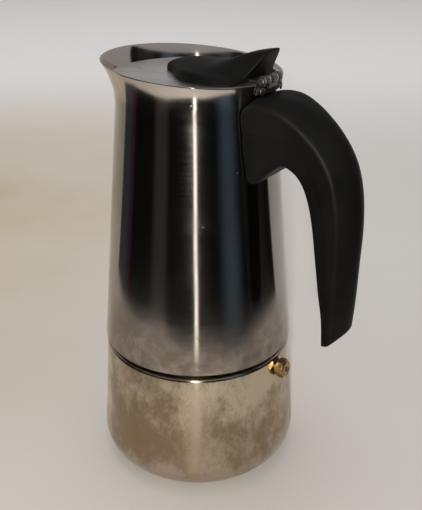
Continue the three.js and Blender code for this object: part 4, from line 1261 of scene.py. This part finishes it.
def make_room():
    """Painted reflections for the polished sides: a glowing sheet, seen only in mirror reflections, dark like
    a dim room on the camera's side of the object, with a few lighter bands and one bright stripe of painted
    highlight, standing beyond the edge of the pale cloth."""
    made = bpy.data.materials.new("painted_reflection_room")
    made.use_nodes = True
    tree = made.node_tree
    tree.nodes.clear()
    place = node(tree, "TexCoord").outputs["Object"]
    parts = node(tree, "SeparateXYZ", {"Vector": place})
    turn = math.radians(ROOM_TURN)
    angle = math_node(tree, "ARCTAN2", parts.outputs["Y"], parts.outputs["X"])
    angle = math_node(tree, "SUBTRACT", angle, turn)
    angle = times(tree, angle, 180 / math.pi)
    sway = times(tree, math_node(tree, "SUBTRACT", noise(tree, 5.0, detail=3), 0.5), 7)
    angle = add(tree, angle, sway)

    def band(middle, half, edge):
        off = math_node(tree, "ABSOLUTE", math_node(tree, "SUBTRACT", angle, middle))
        return ramp(tree, off, half - edge, half + edge, 1.0, 0.0)

    # Painted reflection: a near-black glow for the dim side, with the lighter bands laid over it.
    colour = rgb(0.006, 0.006, 0.005)
    for middle, half, edge, tint in PAINTED_REFLECTION_BANDS:
        colour = mix(tree, band(middle, half, edge), colour, rgb(*tint))
    shade = node(tree, "Emission", {"Color": colour, "Strength": 1.0})
    output = node(tree, "OutputMaterial")
    tree.links.new(shade.outputs["Emission"], output.inputs["Surface"])

    points, faces = [], []
    steps = 96
    left, right = ROOM_SPAN
    for i in range(steps + 1):
        a = turn + math.radians(left + (right - left) * i / steps)
        near = read_off(ROOM_EDGE, left + (right - left) * i / steps)
        for r, z in ((ROOM_FAR, 0.0015), (near, 0.0015), (ROOM_FAR, 0.002), (ROOM_FAR, ROOM_HIGH)):
            points.append((r * math.cos(a), r * math.sin(a), z))
    for i in range(steps):
        base = 4 * i
        faces.append((base, base + 1, base + 5, base + 4))
        faces.append((base + 2, base + 3, base + 7, base + 6))
    mesh = bpy.data.meshes.new("painted_reflection_room")
    mesh.from_pydata(points, [], faces)
    mesh.materials.append(made)
    glossy_only(new_object("painted_reflection_room", mesh))


def area_light(name, place, target, size, energy, colour, mirrored=True):
    data = bpy.data.lights.new(name, "AREA")
    data.shape = "DISK"
    data.size = size
    data.energy = energy
    data.color = colour
    light = new_object(name, data)
    light.location = place
    light.visible_glossy = mirrored
    light.rotation_mode = "QUATERNION"
    light.rotation_quaternion = (Vector(target) - Vector(place)).to_track_quat("-Z", "Y")


def make_lights():
    middle = (0, 0, 0.1)
    area_light("flash", (0.30, -0.50, 0.32), middle, 0.03, 4.0, (1.0, 0.97, 0.93))
    area_light("ceiling", (-0.7, 0.7, 3.0), middle, 3.0, 41, (1.0, 0.985, 0.96), mirrored=False)
    world = bpy.data.worlds.new("room_light")
    scene.world = world
    world.use_nodes = True
    tree = world.node_tree
    place = node(tree, "TexCoord").outputs["Generated"]
    up = node(tree, "SeparateXYZ", {"Vector": place}).outputs["Z"]
    colour = mix(tree, ramp(tree, up, -0.1, 0.7), rgb(0.60, 0.565, 0.52), rgb(0.66, 0.67, 0.69))
    background = tree.nodes["Background"]
    tree.links.new(colour, background.inputs["Color"])
    background.inputs["Strength"].default_value = 0.52


def make_camera():
    data = bpy.data.cameras.new("camera")
    data.lens = 49.88
    data.sensor_width = 36
    data.clip_start = 0.01
    camera = new_object("camera", data)
    camera.location = CAMERA_PLACE
    camera.rotation_mode = "QUATERNION"
    camera.rotation_quaternion = CAMERA_AHEAD.to_track_quat("-Z", "Y")
    scene.camera = camera


make_camera()
make_floor()
make_room()
make_lights()
